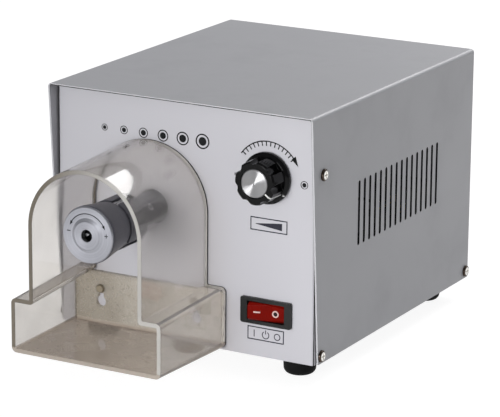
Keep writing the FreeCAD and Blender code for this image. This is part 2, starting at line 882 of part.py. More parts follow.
def make_front_bell():
    """Cast end of the motor with the pilot and the front bearing's seat."""
    inside = "(motor_radius - can_wall - fit_gap)"
    bore = "(shaft_radius + shaft_gap)"
    seat = "(bearing_radius + fit_gap)"
    shell = turned("front_bell_casting", ON_SPINDLE, [
        (bore, f"{BELL} - pilot_length"), ("pilot_radius", f"{BELL} - pilot_length"),
        ("pilot_radius", BELL), ("motor_radius", BELL), ("motor_radius", CAN),
        (inside, CAN), (inside, f"{CAN} + bell_spigot"),
        (f"{inside} - bell_wall", f"{CAN} + bell_spigot"), (f"{inside} - bell_wall", CAN),
        (f"{seat} + bell_wall", CAN), (f"{seat} + bell_wall", f"{FRONT_BEARING} + bearing_width"),
        (seat, f"{FRONT_BEARING} + bearing_width"), (seat, FRONT_BEARING), (bore, FRONT_BEARING),
    ])
    holes = [rod("bell_thread", shift(ON_SPINDLE, x, f"{BELL} - cut_margin", z), LARGE_HOLE,
                 "bell_flange + 2 * cut_margin", TO_BACK) for x, z in MOTOR_BOLT_SPOTS]
    return cut("motor_front_bell", shell, holes)


def make_can():
    return turned("motor_can", ON_SPINDLE, [
        ("motor_radius - can_wall", CAN), ("motor_radius", CAN),
        ("motor_radius", REAR), ("motor_radius - can_wall", REAR),
    ])


def make_rear_bell():
    """Cast end with the rear bearing's seat and the two brush tubes."""
    inside = "(motor_radius - can_wall - fit_gap)"
    seat = "(bearing_radius + fit_gap)"
    bore = "(shaft_radius + shaft_gap)"
    wall = f"({inside} - bell_wall)"
    floor = f"({MOTOR_END} - bell_wall)"
    shell = turned("rear_bell_casting", ON_SPINDLE, [
        (bore, floor), (seat, floor), (seat, REAR_BEARING), (f"{seat} + bell_wall", REAR_BEARING),
        (f"{seat} + bell_wall", floor), (wall, floor), (wall, f"{REAR} - bell_spigot / 2"),
        (inside, f"{REAR} - bell_spigot / 2"), (inside, REAR), ("motor_radius", REAR),
        ("motor_radius", MOTOR_END), (bore, MOTOR_END),
    ])
    start = "(commutator_radius + bell_wall)"
    reach = f"motor_radius + bell_wall - {start}"
    tubes = [rod("brush_tube_right", shift(ON_SPINDLE, start, BRUSH), "brush_tube", reach, TO_RIGHT),
             rod("brush_tube_left", shift(ON_SPINDLE, f"-{start}", BRUSH), "brush_tube", reach,
                 TO_LEFT)]
    bores = [rod("brush_bore_right", shift(ON_SPINDLE, f"{start} - cut_margin", BRUSH),
                 "brush_bore", f"{reach} + 2 * cut_margin", TO_RIGHT),
             rod("brush_bore_left", shift(ON_SPINDLE, f"cut_margin - {start}", BRUSH),
                 "brush_bore", f"{reach} + 2 * cut_margin", TO_LEFT)]
    return cut("motor_rear_bell", joined("rear_bell_blank", [shell, *tubes]), bores)


def make_magnets():
    """Two curved magnets inside the can."""
    outer = "(motor_radius - can_wall)"
    front = f"({CORE} + (core_length - magnet_length) / 2)"
    master = new_body("magnet", ("0", "0", "0"))
    sketch = new_sketch(master, "XY_Plane")
    draw(sketch, rectangle("magnet_inner", outer, front, f"{front} + magnet_length"))
    revolve(master, sketch, "magnet_angle")
    lean = number("magnet_angle") / 2
    return group("motor_magnets", [copy_of(master, ON_SPINDLE, Rotation(Vector(0, 1, 0), side - lean))
                                   for side in (0, 180)])


def make_core():
    """Slotted stack of steel laminations."""
    body = new_body("armature_core", ON_SPINDLE)
    disc = new_sketch(body, "XZ_Plane", f"-{CORE}")
    draw_circle(disc, "0", "0", "core_radius")
    draw_circle(disc, "0", "0", "shaft_radius")
    pad(body, disc, "core_length", backwards=True)
    slot = new_sketch(body, "XZ_Plane", f"-{CORE}")
    draw(slot, rectangle("-slot_width / 2", "slot_width / 2", "core_radius - slot_depth",
                         "core_radius + cut_margin"))
    first = pocket(body, slot)
    ring_pattern(body, first, slot, "core_slots")
    return body


def make_windings():
    """The two ends of the armature's winding, outside the core."""
    ends = []
    for name, front in (("front_coil", f"({CORE} - coil_length)"), ("rear_coil", CORE_END)):
        back = f"({front} + coil_length)"
        rim = "(coil_radius - coil_rounding)"
        low, high = f"({front} + coil_rounding)", f"({back} - coil_rounding)"
        inner = "(shaft_radius + fit_gap)"
        ends.append(turned(name, ON_SPINDLE, [
            (inner, front), (rim, front, (rim, low)), ("coil_radius", low),
            ("coil_radius", high, (rim, high)), (rim, back), (inner, back),
        ]))
    return group("armature_windings", ends)


def make_commutator():
    """Copper segments with thin slots between them."""
    body = new_body("commutator", ON_SPINDLE)
    disc = new_sketch(body, "XZ_Plane", f"-{COMMUTATOR}")
    draw_circle(disc, "0", "0", "commutator_radius")
    draw_circle(disc, "0", "0", "shaft_radius")
    pad(body, disc, "commutator_length", backwards=True)
    slot = new_sketch(body, "XZ_Plane", f"-{COMMUTATOR}")
    draw(slot, rectangle("-segment_slot / 2", "segment_slot / 2",
                         "commutator_radius - segment_slot_depth",
                         "commutator_radius + cut_margin"))
    first = pocket(body, slot)
    ring_pattern(body, first, slot, "segment_count")
    return body


def make_shaft():
    return rod("motor_shaft", shift(ON_SPINDLE, back="hub_wall - hub_front"), "shaft_radius",
               f"{MOTOR_END} + hub_front", TO_BACK)


def bearing_ring(label, front, grooved, plain, *sense):
    """A ring of a bearing: the balls' groove in one side, the other side plain.
    The groove's arc runs clockwise if told so."""
    back = f"({front} + bearing_width)"
    middle = f"({front} + bearing_width / 2)"
    groove = "(ball_radius + running_gap)"
    half_chord = f"sqrt({groove} * {groove} - ({grooved} - {MID_RACE}) * ({grooved} - {MID_RACE}))"
    return turned(label, ON_SPINDLE, [
        (grooved, f"{middle} - {half_chord}"), (grooved, front), (plain, front), (plain, back),
        (grooved, back), (grooved, f"{middle} + {half_chord}", (MID_RACE, middle), *sense),
    ])


def make_bearings():
    """Two ball bearings, each an outer ring, an inner ring and its balls."""
    outer_rings = []
    inner_rings = []
    balls = []
    for name, front in (("front", FRONT_BEARING), ("rear", REAR_BEARING)):
        outer_rings.append(bearing_ring(f"{name}_outer_ring", front, "(bearing_radius - race_wall)",
                                        "bearing_radius", "clockwise"))
        inner_rings.append(bearing_ring(f"{name}_inner_ring", front,
                                        "(shaft_radius + race_wall)", "shaft_radius"))
        for index in range(int(number("ball_count"))):
            ball = doc.addObject("Part::Sphere", f"{name}_ball")
            bind(ball, "Radius", "ball_radius")
            angle = f"({index} * 360 / ball_count)"
            balls.append(place(ball, shift(ON_SPINDLE, f"{MID_RACE} * sin({angle})",
                                           f"{front} + bearing_width / 2",
                                           f"{MID_RACE} * cos({angle})")))
    return (group("bearing_outer_rings", outer_rings), group("bearing_inner_rings", inner_rings),
            group("bearing_balls", balls))


def make_brushes():
    """Two carbon brushes that rub on the commutator."""
    start = "(commutator_radius + running_gap)"
    low = shift(ON_SPINDLE, "0", f"{BRUSH} - brush_width / 2", "-brush_height / 2")
    return group("carbon_brushes", [
        block("right_brush", shift(low, start), "brush_length", "brush_width", "brush_height"),
        block("left_brush", shift(low, f"-{start} - brush_length"), "brush_length",
              "brush_width", "brush_height"),
    ])


def make_brush_caps():
    """Slotted screw caps that close the brush tubes."""
    end = "(motor_radius + bell_wall)"
    cap = rod("cap_blank", ("0", "0", "-brush_cap_length"), "brush_bore - fit_gap",
              "brush_cap_length")
    slot = block("cap_slot", ("-brush_bore", "-cap_slot_width / 2", "-cap_slot_depth"),
                 "2 * brush_bore", "cap_slot_width", "2 * cap_slot_depth")
    master = cut("brush_cap", cap, [slot])
    return group("brush_caps", [copy_of(master, shift(ON_SPINDLE, end, BRUSH), TO_RIGHT),
                                copy_of(master, shift(ON_SPINDLE, f"-{end}", BRUSH), TO_LEFT)])


# Stripping head. Its pieces lie in front of the panel, so their places along
# the spindle are negative.

def make_hub():
    """Steel hub on the motor's shaft, with two cross holes for grub screws."""
    blank = turned("hub_blank", ON_SPINDLE, [
        ("shaft_radius + fit_gap", "hub_wall - hub_front - fit_gap"),
        ("shaft_radius + fit_gap", "hub_back"),
        ("hub_radius - edge_break", "hub_back"), ("hub_radius", "hub_back - edge_break"),
        ("hub_radius", "-hub_front"), ("wire_bore", "-hub_front"),
        ("wire_bore", "hub_wall - hub_front - fit_gap"),
    ])
    holes = [rod("grub_hole", shift(ON_SPINDLE, back="-grub_setback"), "grub_radius + fit_gap",
                 "hub_radius + cut_margin", azimuth_turn(angle)) for angle in GRUB_ANGLES]
    return cut("spindle_hub", blank, holes)


def azimuth_turn(angle):
    """Turns a piece's Z axis about the spindle, clockwise as seen from the front."""
    return Rotation(Vector(0, 1, 0), angle)


GRUB_ANGLES = (SIZES["grub_azimuth"], SIZES["grub_azimuth"] + 120)


def grub_screw(label, radius, length):
    """A headless screw with a hexagon socket in its top end, at the origin."""
    body = new_body(label, ("0", "0", "0"))
    disc = new_sketch(body, "XY_Plane")
    draw_circle(disc, "0", "0", radius)
    pad(body, disc, length, backwards=True)
    socket = new_sketch(body, "XY_Plane")
    draw(socket, [(f"hexagon_reach * {radius} * cos({60 * side})",
                   f"hexagon_reach * {radius} * sin({60 * side})") for side in range(6)])
    pocket(body, socket, f"{length} / 2")
    return body


def make_hub_grubs():
    master = grub_screw("hub_grub_screw", "grub_radius", "grub_length")
    copies = []
    for angle in GRUB_ANGLES:
        reach = "(shaft_radius + 2 * fit_gap + grub_length)"
        spot = shift(ON_SPINDLE, f"{reach} * sin({angle})", "-grub_setback",
                     f"{reach} * cos({angle})")
        copies.append(copy_of(master, spot, azimuth_turn(angle)))
    return group("hub_grub_screws", copies)


BLADE_ANGLES = [SIZES["blade_azimuth"] + 120 * index for index in range(3)]


def make_head_body():
    """Turned body with a collar, a barrel and three slots for the blade arms.
    The slots run in to the wire's bore, and leave the body whole at its back."""
    groove = "(arm_inner - ring_gap + running_gap)"
    groove_front = "(-ring_setback - ring_wire - running_gap)"
    groove_back = "(-ring_setback + ring_wire + running_gap)"
    blank = turned("head_blank", ON_SPINDLE, [
        ("wire_bore", "-barrel_front"), ("wire_bore", groove_front),
        (groove, groove_front), (groove, groove_back), ("wire_bore", groove_back),
        ("wire_bore", "-hub_front"), ("hub_radius", "-hub_front"),
        ("collar_radius", "-collar_back"), ("collar_radius", "-collar_front"),
        ("barrel_radius", "-collar_front"), ("barrel_radius", "-barrel_front"),
    ])
    cuts = []
    for angle in BLADE_ANGLES:
        slot = new_body("arm_slot", ON_SPINDLE, azimuth_turn(angle))
        sketch = new_sketch(slot, "YZ_Plane", "-arm_slot / 2")
        draw(sketch, rectangle("-barrel_front - cut_margin", "arm_end_gap - arm_back", "0",
                               "collar_radius + cut_margin"))
        pad(slot, sketch, "arm_slot")
        cuts.append(slot)
        cuts.append(rod("pin_hole", shift(ON_SPINDLE, *pin_end(angle)),
                        "pivot_radius + fit_gap", "pivot_length", pin_turn(angle)))
    return cut("head_body", blank, cuts)


def pin_end(angle):
    """The end of a pivot pin, off the spindle's axis at its azimuth."""
    return (f"pivot_offset * sin({angle}) - pivot_length / 2 * cos({angle})", "-pivot_setback",
            f"pivot_offset * cos({angle}) + pivot_length / 2 * sin({angle})")


def pin_turn(angle):
    return azimuth_turn(angle).multiply(TO_RIGHT)


def make_pins():
    return group("pivot_pins", [rod("pivot_pin", shift(ON_SPINDLE, *pin_end(angle)), "pivot_radius",
                                    "pivot_length", pin_turn(angle)) for angle in BLADE_ANGLES])


def make_return_ring():
    """A spring ring in the head's bore, inside the arms, that pushes them apart."""
    ring = doc.addObject("Part::Torus", "return_ring")
    bind(ring, "Radius1", "arm_inner - ring_gap - ring_wire")
    bind(ring, "Radius2", "ring_wire")
    return place(ring, shift(ON_SPINDLE, back="-ring_setback"), TO_BACK)


def make_arm(index, angle):
    """A lever plate: a weight at the back, the blade at the front."""
    body = new_body(f"blade_arm_{index}", ON_SPINDLE, azimuth_turn(angle))
    sketch = new_sketch(body, "YZ_Plane", "-arm_thickness / 2")
    draw(sketch, [
        ("-arm_front", "arm_inner"), ("-arm_back", "arm_inner"), ("-arm_back", "weight_outer"),
        ("-weight_front", "weight_outer"), ("-weight_front - weight_slope", "arm_outer"),
        ("-arm_front", "arm_outer"),
    ])
    draw_circle(sketch, "-pivot_setback", "pivot_offset", "pivot_radius + running_gap")
    pad(body, sketch, "arm_thickness")
    return body


def make_blade(index, angle):
    """A hard-metal wedge brazed to the front of its arm."""
    body = new_body(f"blade_{index}", ON_SPINDLE, azimuth_turn(angle))
    sketch = new_sketch(body, "XZ_Plane", "arm_front")
    draw(sketch, [
        ("-blade_edge / 2", "blade_tip"), ("blade_edge / 2", "blade_tip"),
        ("blade_root / 2", "arm_inner"), ("-blade_root / 2", "arm_inner"),
    ])
    pad(body, sketch, "blade_length", backwards=True)
    return body


def make_sleeve():
    """The black cone of the cap, with a three-lobed cam lip inside it."""
    body = turned("adjusting_sleeve", ON_SPINDLE, [
        ("barrel_radius + running_gap", "-collar_front - cap_gap"),
        ("barrel_radius + running_gap", "-cam_back"), ("cam_radius - cam_wall", "-cam_back"),
        ("cam_radius - cam_wall", "-cam_front"), ("sleeve_mouth", "-cam_front"),
        ("sleeve_mouth", "-sleeve_front"), ("sleeve_front_radius", "-sleeve_front"),
        ("sleeve_front_radius", "-cam_front"), ("sleeve_back_radius", "-collar_front - cap_gap"),
    ])
    cam = new_sketch(body, "XZ_Plane", "sleeve_front")
    low = "(cam_offset / 2 + sqrt(cam_radius * cam_radius - 0.75 * cam_offset * cam_offset))"
    corners = []
    for index in range(3):
        peak = f"(blade_azimuth + cap_swing + {120 * index})"
        notch = f"({peak} + 60)"
        corners.append((f"{low} * sin({notch})", f"{low} * cos({notch})",
                        (f"cam_offset * sin({peak} + 120)", f"cam_offset * cos({peak} + 120)"),
                        "clockwise"))
    draw(cam, corners)
    pocket(body, cam, "sleeve_front - cam_back + cam_wall")
    return body


def make_face_disc():
    """Satin face of the cap: a plate with a low cone cut flat round the wire hole."""
    front = "(sleeve_front + face_plate)"
    top = f"({front} + face_boss_rise)"
    return turned("face_disc", ON_SPINDLE, [
        ("wire_hole", "-sleeve_front + face_spigot"), ("wire_hole", f"-{top} + edge_break"),
        ("wire_hole + edge_break", f"-{top}"), ("face_boss - boss_slope", f"-{top}"),
        ("face_boss", f"-{front}"),
        ("face_radius - edge_break", f"-{front}"), ("face_radius", f"-{front} + edge_break"),
        ("face_radius", "-sleeve_front"), ("sleeve_mouth - fit_gap", "-sleeve_front"),
        ("sleeve_mouth - fit_gap", "-sleeve_front + face_spigot"),
    ])


# Guard

def guard_outline(wall, front):
    """The arch on its tray, drawn about the guard's middle line.

    wall is how far inside the outer skin it runs. front is 1 at the open end,
    which the draft of the mould makes smaller, and 0 at the back.
    """
    half = f"(tray_half_width - {wall} - {front} * side_draft)"
    base = f"(tray_base + {wall} + {front} * base_draft)"
    top = f"(tray_top - {wall} - {front} * top_draft)"
    arch = f"(arch_radius - {wall} - {front} * side_draft)"
    centre = f"(arch_centre - {front} * arch_drop)"
    corner = f"(tray_corner - {wall})"
    nook = f"(tray_nook + {wall} / 2)"
    turn_x = f"({half} - {corner})"
    nook_x = f"({arch} + {nook})"
    return [
        (f"-{turn_x}", base), (turn_x, base, (turn_x, f"{base} + {corner}")),
        (half, f"{base} + {corner}"), (half, f"{top} - {corner}", (turn_x, f"{top} - {corner}")),
        (turn_x, top), (nook_x, top, (nook_x, f"{top} + {nook}"), "clockwise"),
        (arch, f"{top} + {nook}"), (arch, centre, ("0", centre)),
        (f"-{arch}", centre), (f"-{arch}", f"{top} + {nook}", (f"-{nook_x}", f"{top} + {nook}"),
                               "clockwise"),
        (f"-{nook_x}", top), (f"-{turn_x}", top, (f"-{turn_x}", f"{top} - {corner}")),
        (f"-{half}", f"{top} - {corner}"), (f"-{half}", f"{base} + {corner}",
                                            (f"-{turn_x}", f"{base} + {corner}")),
    ]


def make_guard():
    """One moulding of clear plastic, open in front, that widens to the back."""
    body = new_body("clear_guard", ("-guard_left", PANEL, "foot_height"))
    for wall, kind in (("0", "PartDesign::AdditiveLoft"), ("guard_wall", "PartDesign::SubtractiveLoft")):
        back = new_sketch(body, "XZ_Plane", "guard_gap")
        draw(back, guard_outline(wall, 0))
        front = new_sketch(body, "XZ_Plane", "guard_reach")
        draw(front, guard_outline(wall, 1))
        loft = body.newObject(kind, "guard_loft")
        loft.Profile = back
        loft.Sections = [front]
        loft.Ruled = True
    wall = new_sketch(body, "XZ_Plane", "guard_gap")
    half = "(tray_half_width - guard_wall / 2)"
    draw(wall, rounded(f"-{half}", half, "tray_base + guard_wall / 2", "tray_back_top",
                       "guard_wall"))
    pad(body, wall, "guard_wall")
    holes = new_sketch(body, "XZ_Plane", "guard_gap + guard_wall + cut_margin")
    for side in ("-", ""):
        middle = f"{side}keyhole_spread"
        slot = "(screw_radius + guard_shank_gap)"
        drop = f"sqrt(keyhole_round * keyhole_round - {slot} * {slot})"
        high = "(keyhole_high - guard_shank_gap + running_gap)"
        draw(holes, [
            (f"{middle} - {slot}", f"keyhole_low + {drop}", (middle, "keyhole_low")),
            (f"{middle} + {slot}", f"keyhole_low + {drop}"),
            (f"{middle} + {slot}", high, (middle, high)),
            (f"{middle} - {slot}", high),
        ])
    pocket(body, holes)
    return body


def make_guard_screws():
    """Collared screws in the panel: the guard's keyholes hang on them."""
    seat = "(guard_gap + guard_wall + guard_shank_gap)"
    top = f"({seat} + guard_head_height)"
    end = "(chassis_sheet + nut_height + screw_end)"
    master = turned("guard_screw", ("0", "0", "0"), [
        ("0", end), ("screw_radius", end), ("screw_radius", "0"), ("guard_collar", "0"),
        ("guard_collar", "running_gap - guard_gap"), ("screw_radius", "running_gap - guard_gap"),
        ("screw_radius", f"-{seat}"), ("guard_head_radius", f"-{seat}"),
        ("guard_head_radius", f"-{top} + edge_break"), ("guard_head_radius - edge_break", f"-{top}"),
        ("0", f"-{top}"),
    ])
    return group("guard_screws", [copy_of(master, shift(ON_CASE, f"-guard_left {side} keyhole_spread",
                                                        "0", "keyhole_high")) for side in ("-", "+")])


# Knob and potentiometer

ON_KNOB = shift(ON_CASE, KNOB_X, "0", "knob_height")


def make_knob():
    """Moulded knob: a skirt and a grip with broad lobes."""
    skirt_top = "(knob_gap + skirt_thick)"
    body = turned("knob_moulding", ON_KNOB, [
        ("knob_hollow", "-knob_gap"), ("skirt_radius", "-knob_gap"),
        ("skirt_radius", f"-{skirt_top} + knob_chamfer"),
        ("skirt_radius - knob_chamfer", f"-{skirt_top}"),
        ("grip_radius", f"-{skirt_top} - edge_break"),
        ("grip_front_radius", "-knob_reach + knob_chamfer"),
        ("grip_front_radius - knob_chamfer", "-knob_reach"),
        ("insert_radius + insert_gap", "-knob_reach"),
        ("insert_radius + insert_gap", "insert_depth - knob_reach"),
        ("0", "insert_depth - knob_reach"), ("0", "-knob_bore_depth - insert_gap"),
        ("pot_shaft_radius + fit_gap", "-knob_bore_depth - insert_gap"),
        ("pot_shaft_radius + fit_gap", "-knob_gap - knob_hollow_depth"),
        ("knob_hollow", "-knob_gap - knob_hollow_depth"),
    ])
    flute = new_sketch(body, "XZ_Plane", "knob_reach + cut_margin")
    middle = "(pointer_angle + 180 / flute_count)"
    draw_circle(flute, f"flute_offset * sin({middle})", f"flute_offset * cos({middle})",
                "flute_radius")
    first = pocket(body, flute, f"knob_reach + cut_margin - {skirt_top} - edge_break")
    ring_pattern(body, first, flute, "flute_count")
    hole = rod("knob_grub_hole", shift(ON_KNOB, back=KNOB_GRUB_Y), "screw_radius + fit_gap",
               "skirt_radius", azimuth_turn(KNOB_GRUB_ANGLE))
    return cut("speed_knob", body, [hole])


KNOB_GRUB_Y = "-(knob_gap + knob_hollow_depth + knob_grub_wall + screw_radius)"
KNOB_GRUB_ANGLE = SIZES["pointer_angle"] + 180


def make_knob_grub():
    reach = "(pot_shaft_radius + fit_gap + knob_grub_length)"
    spot = shift(ON_KNOB, f"{reach} * sin({KNOB_GRUB_ANGLE})", KNOB_GRUB_Y,
                 f"{reach} * cos({KNOB_GRUB_ANGLE})")
    master = grub_screw("knob_grub", "screw_radius", "knob_grub_length - fit_gap")
    return group("knob_grub_screw", [copy_of(master, spot, azimuth_turn(KNOB_GRUB_ANGLE))])


def make_knob_cap():
    """Spun aluminium disc set into the knob's face, crowned and chamfered."""
    return turned("knob_cap", ON_KNOB, [
        ("0", "insert_depth - knob_reach"), ("0", "-knob_reach - insert_crown"),
        ("insert_radius - edge_break", "-knob_reach"),
        ("insert_radius", "edge_break - knob_reach"),
        ("insert_radius", "insert_depth - knob_reach"),
    ])


def make_pot_shaft():
    return rod("pot_shaft", shift(ON_KNOB, back="-pot_shaft_reach"), "pot_shaft_radius",
               "pot_shaft_reach + chassis_sheet + pot_shaft_tail", TO_BACK)


TAG_SPOTS = ("-tag_pitch", "0", "tag_pitch")
POT_TAG_END = "(-pot_radius - tag_length)"


def make_pot():
    """Potentiometer: a can behind the panel, a bush through it, three tags."""
    tail = "(chassis_sheet + pot_shaft_tail)"
    blank = turned("pot_can", ON_KNOB, [
        ("pot_shaft_radius + running_gap", "-pot_bush_reach"), ("pot_bush_radius", "-pot_bush_reach"),
        ("pot_bush_radius", "chassis_sheet"), ("pot_radius - edge_break", "chassis_sheet"),
        ("pot_radius", "chassis_sheet + edge_break"), ("pot_radius", "chassis_sheet + pot_depth"),
        ("0", "chassis_sheet + pot_depth"), ("0", f"{tail} + running_gap"),
        ("pot_shaft_radius + running_gap", f"{tail} + running_gap"),
    ])
    tags = [block("pot_tag", shift(ON_KNOB, f"{x} - tag_width / 2", tail, POT_TAG_END),
                  "tag_width", "tag_thick", "tag_length + edge_break") for x in TAG_SPOTS]
    return joined("speed_pot", [blank, *tags])


def make_pot_nut():
    master = hex_nut("pot_nut_blank", "pot_nut_flats", "pot_nut_height",
                     "pot_bush_radius + fit_gap")
    return group("pot_nut", [copy_of(master, ON_KNOB, TO_FRONT)])


# Rocker switch

ON_SWITCH = shift(ON_CASE, SWITCH_X, "0", "switch_height")


TERMINAL_SPOTS = ("-terminal_pitch", "0", "terminal_pitch")


def make_switch_housing():
    """Snap-in housing: a bezel on the panel and a hollow body behind it."""
    body = new_body("switch_housing", ON_SWITCH)
    bezel = new_sketch(body, "XZ_Plane")
    draw(bezel, rounded("-bezel_width / 2", "bezel_width / 2", "-bezel_height / 2",
                        "bezel_height / 2", "bezel_corner"))
    pad(body, bezel, "bezel_proud")
    box = new_sketch(body, "XZ_Plane")
    draw(box, rectangle("-switch_body_width / 2", "switch_body_width / 2",
                        "-switch_body_height / 2", "switch_body_height / 2"))
    pad(body, box, "switch_body_depth", backwards=True)
    well = new_sketch(body, "XZ_Plane", "bezel_proud")
    draw(well, rectangle("-rocker_mouth_width / 2", "rocker_mouth_width / 2",
                         "-rocker_mouth_height / 2", "rocker_mouth_height / 2"))
    pocket(body, well, "bezel_proud + rocker_well")
    axle = new_sketch(body, "XY_Plane", "switch_body_height")
    draw_circle(axle, "0", "rocker_pivot", "trunnion_radius + running_gap")
    pocket(body, axle)
    seats = new_sketch(body, "XZ_Plane", "-switch_body_depth")
    for x in TERMINAL_SPOTS:
        draw(seats, rectangle(f"{x} - terminal_thick / 2", f"{x} + terminal_thick / 2",
                              "-terminal_width / 2", "terminal_width / 2"))
    pocket(body, seats, "terminal_seat", backwards=True)
    return body


def make_rocker():
    """Rocker with two shallow faces and bevelled long edges. Its right end rests pressed in."""
    pivot = shift(ON_SWITCH, back="rocker_pivot")
    body = new_body("switch_rocker", pivot, Rotation(Vector(0, 0, 1), 1))
    bind(body, "Placement.Rotation.Angle", "rocker_tilt")
    front = "(bezel_proud + rocker_pivot + rocker_rise)"
    shape = new_sketch(body, "XY_Plane", "-(rocker_mouth_height / 2 - rocker_gap)")
    draw(shape, [
        ("-rocker_half_length", f"-{front}"), ("0", f"-{front} + rocker_dip"),
        ("rocker_half_length", f"-{front}"), ("rocker_half_length - rocker_taper", "0"),
        ("trunnion_radius + rocker_foot", "rocker_skirt"),
        ("-trunnion_radius - rocker_foot", "rocker_skirt"),
        ("rocker_taper - rocker_half_length", "0"),
    ])
    pad(body, shape, "rocker_mouth_height - 2 * rocker_gap")
    bevel = new_sketch(body, "YZ_Plane", "rocker_half_length + rocker_gap")
    edge = "rocker_mouth_height / 2"
    for side in ("", "-"):
        draw(bevel, [
            (f"-{front} - rocker_gap", f"{side}({edge} - 2 * rocker_gap - rocker_bevel)"),
            (f"-{front} + rocker_bevel + rocker_gap", f"{side}({edge})"),
            (f"-{front} - rocker_gap", f"{side}({edge})"),
        ])
    pocket(body, bevel)
    axle = new_sketch(body, "XY_Plane", "-(switch_body_height / 2 - running_gap)")
    draw_circle(axle, "0", "0", "trunnion_radius")
    pad(body, axle, "switch_body_height - 2 * running_gap")
    return body


def make_switch_terminals():
    tags = []
    for x in TERMINAL_SPOTS:
        corner = shift(ON_SWITCH, f"{x} - terminal_thick / 2", "switch_body_depth - terminal_seat",
                       "-terminal_width / 2")
        tags.append(block("switch_tag", corner, "terminal_thick",
                          "terminal_length + terminal_seat", "terminal_width"))
    return group("switch_terminals", tags)


# Power inlet

ON_INLET = shift(ON_CASE, INLET_X, "case_depth", "inlet_height")


def socket_outline():
    """The socket's recess, with its two lower corners cut off."""
    half = "(socket_width / 2)"
    low = "(socket_rise - socket_height / 2)"
    high = "(socket_rise + socket_height / 2)"
    return [
        (f"-{half} + socket_chamfer", low), (f"{half} - socket_chamfer", low),
        (half, f"{low} + socket_chamfer"), (half, high), (f"-{half}", high),
        (f"-{half}", f"{low} + socket_chamfer"),
    ]


DRAWER_HALF = "(drawer_width / 2)"
DRAWER_LOW = "(-drawer_drop - drawer_height / 2)"
DRAWER_HIGH = "(-drawer_drop + drawer_height / 2)"


def make_inlet():
    """Moulded inlet: flange outside the panel, socket and drawer bay inside."""
    body = new_body("inlet_moulding", ON_INLET)
    flange = new_sketch(body, "XZ_Plane")
    draw(flange, rounded("-inlet_flange_width / 2", "inlet_flange_width / 2",
                         "-inlet_flange_height / 2", "inlet_flange_height / 2", "inlet_corner"))
    pad(body, flange, "inlet_flange", backwards=True)
    box = new_sketch(body, "XZ_Plane")
    draw(box, rectangle("-inlet_body_width / 2", "inlet_body_width / 2",
                        "-inlet_body_height / 2", "inlet_body_height / 2"))
    pad(body, box, "inlet_body_depth")
    well = new_sketch(body, "XZ_Plane", "-inlet_flange")
    draw(well, socket_outline())
    pocket(body, well, "socket_depth", backwards=True)
    bay = new_sketch(body, "XZ_Plane", "-inlet_flange")
    draw(bay, rectangle(f"-{DRAWER_HALF} - drawer_gap", f"{DRAWER_HALF} + drawer_gap",
                        f"{DRAWER_LOW} - drawer_gap", f"{DRAWER_HIGH} + drawer_gap"))
    pocket(body, bay, "drawer_depth + inlet_flange", backwards=True)
    holes = new_sketch(body, "XZ_Plane", "-inlet_flange")
    for side in ("-", ""):
        draw_circle(holes, f"{side}inlet_screw_spread", "0", SCREW_HOLE)
    pocket(body, holes, backwards=True)
    return cut("power_inlet", body, [pin_block("pin_seat", x, z, "fit_gap") for x, z in PIN_SPOTS])


PIN_SPOTS = [
    ("-pin_spread", "(socket_rise - pin_offset / 2)"),
    ("pin_spread", "(socket_rise - pin_offset / 2)"),
    ("0", "(socket_rise + earth_offset)"),
]


def pin_block(label, x, z, gap="0"):
    """A contact blade, from inside the socket to its tail behind the moulding,
    or with a gap all round the cut that it sits in."""
    front = "(inlet_flange - pin_recess)"
    wide = f"(pin_thick + 2 * {gap})"
    high = f"(pin_width + 2 * {gap})"
    corner = shift(ON_INLET, f"{x} - {wide} / 2", "-inlet_body_depth - pin_tail",
                   f"{z} - {high} / 2")
    return block(label, corner, wide, f"inlet_body_depth + pin_tail + {front}", high)


def make_inlet_pins():
    return group("inlet_pins", [pin_block("inlet_pin", *spot) for spot in PIN_SPOTS])


def make_inlet_screws():
    master = pan_screw("inlet_screw", "pan_head_radius", "pan_head_height", "screw_radius",
                       "inlet_flange + chassis_sheet + nut_height + screw_end")
    return group("inlet_screws", [copy_of(master, shift(ON_INLET, f"{side}inlet_screw_spread",
                                                        "inlet_flange"), TO_BACK)
                                  for side in ("-", "")])


def make_fuse_drawer():
    """A small drawer with a cradle for the fuse and a lip to pull it by."""
    body = new_body("fuse_drawer", ON_INLET)
    front = new_sketch(body, "XZ_Plane", "-inlet_flange")
    draw(front, rectangle(f"-{DRAWER_HALF}", DRAWER_HALF, DRAWER_LOW, DRAWER_HIGH))
    pad(body, front, "inlet_flange + drawer_depth - drawer_gap")
    lip = new_sketch(body, "XZ_Plane", "-inlet_flange")
    draw(lip, rectangle(f"-{DRAWER_HALF} / 3", f"{DRAWER_HALF} / 3", DRAWER_LOW,
                        f"{DRAWER_LOW} + drawer_height / 3"))
    pad(body, lip, "drawer_lip", backwards=True)
    hollow = new_sketch(body, "XY_Plane", f"{DRAWER_HIGH} + cut_margin")
    draw(hollow, rectangle(f"-{DRAWER_HALF} + drawer_wall", f"{DRAWER_HALF} - drawer_wall",
                           "drawer_gap + drawer_wall - drawer_depth", "inlet_flange - drawer_front"))
    pocket(body, hollow, "drawer_height + cut_margin - drawer_wall")
    return body


def make_fuse():
    """A glass fuse with two metal caps, across the drawer."""
    middle = "((drawer_gap + drawer_wall - drawer_depth + inlet_flange - drawer_front) / 2)"
    spot = shift(ON_INLET, "-fuse_length / 2", middle, f"{DRAWER_LOW} + drawer_wall + fuse_radius")
    glass = rod("fuse_glass", spot, "fuse_radius - fuse_cap_wall", "fuse_length", TO_RIGHT)
    caps = [rod("fuse_cap", shift(spot, right=start), "fuse_radius", "fuse_cap_length", TO_RIGHT)
            for start in ("0", "fuse_length - fuse_cap_length")]
    return joined("fuse", [glass, *caps])


# Control board

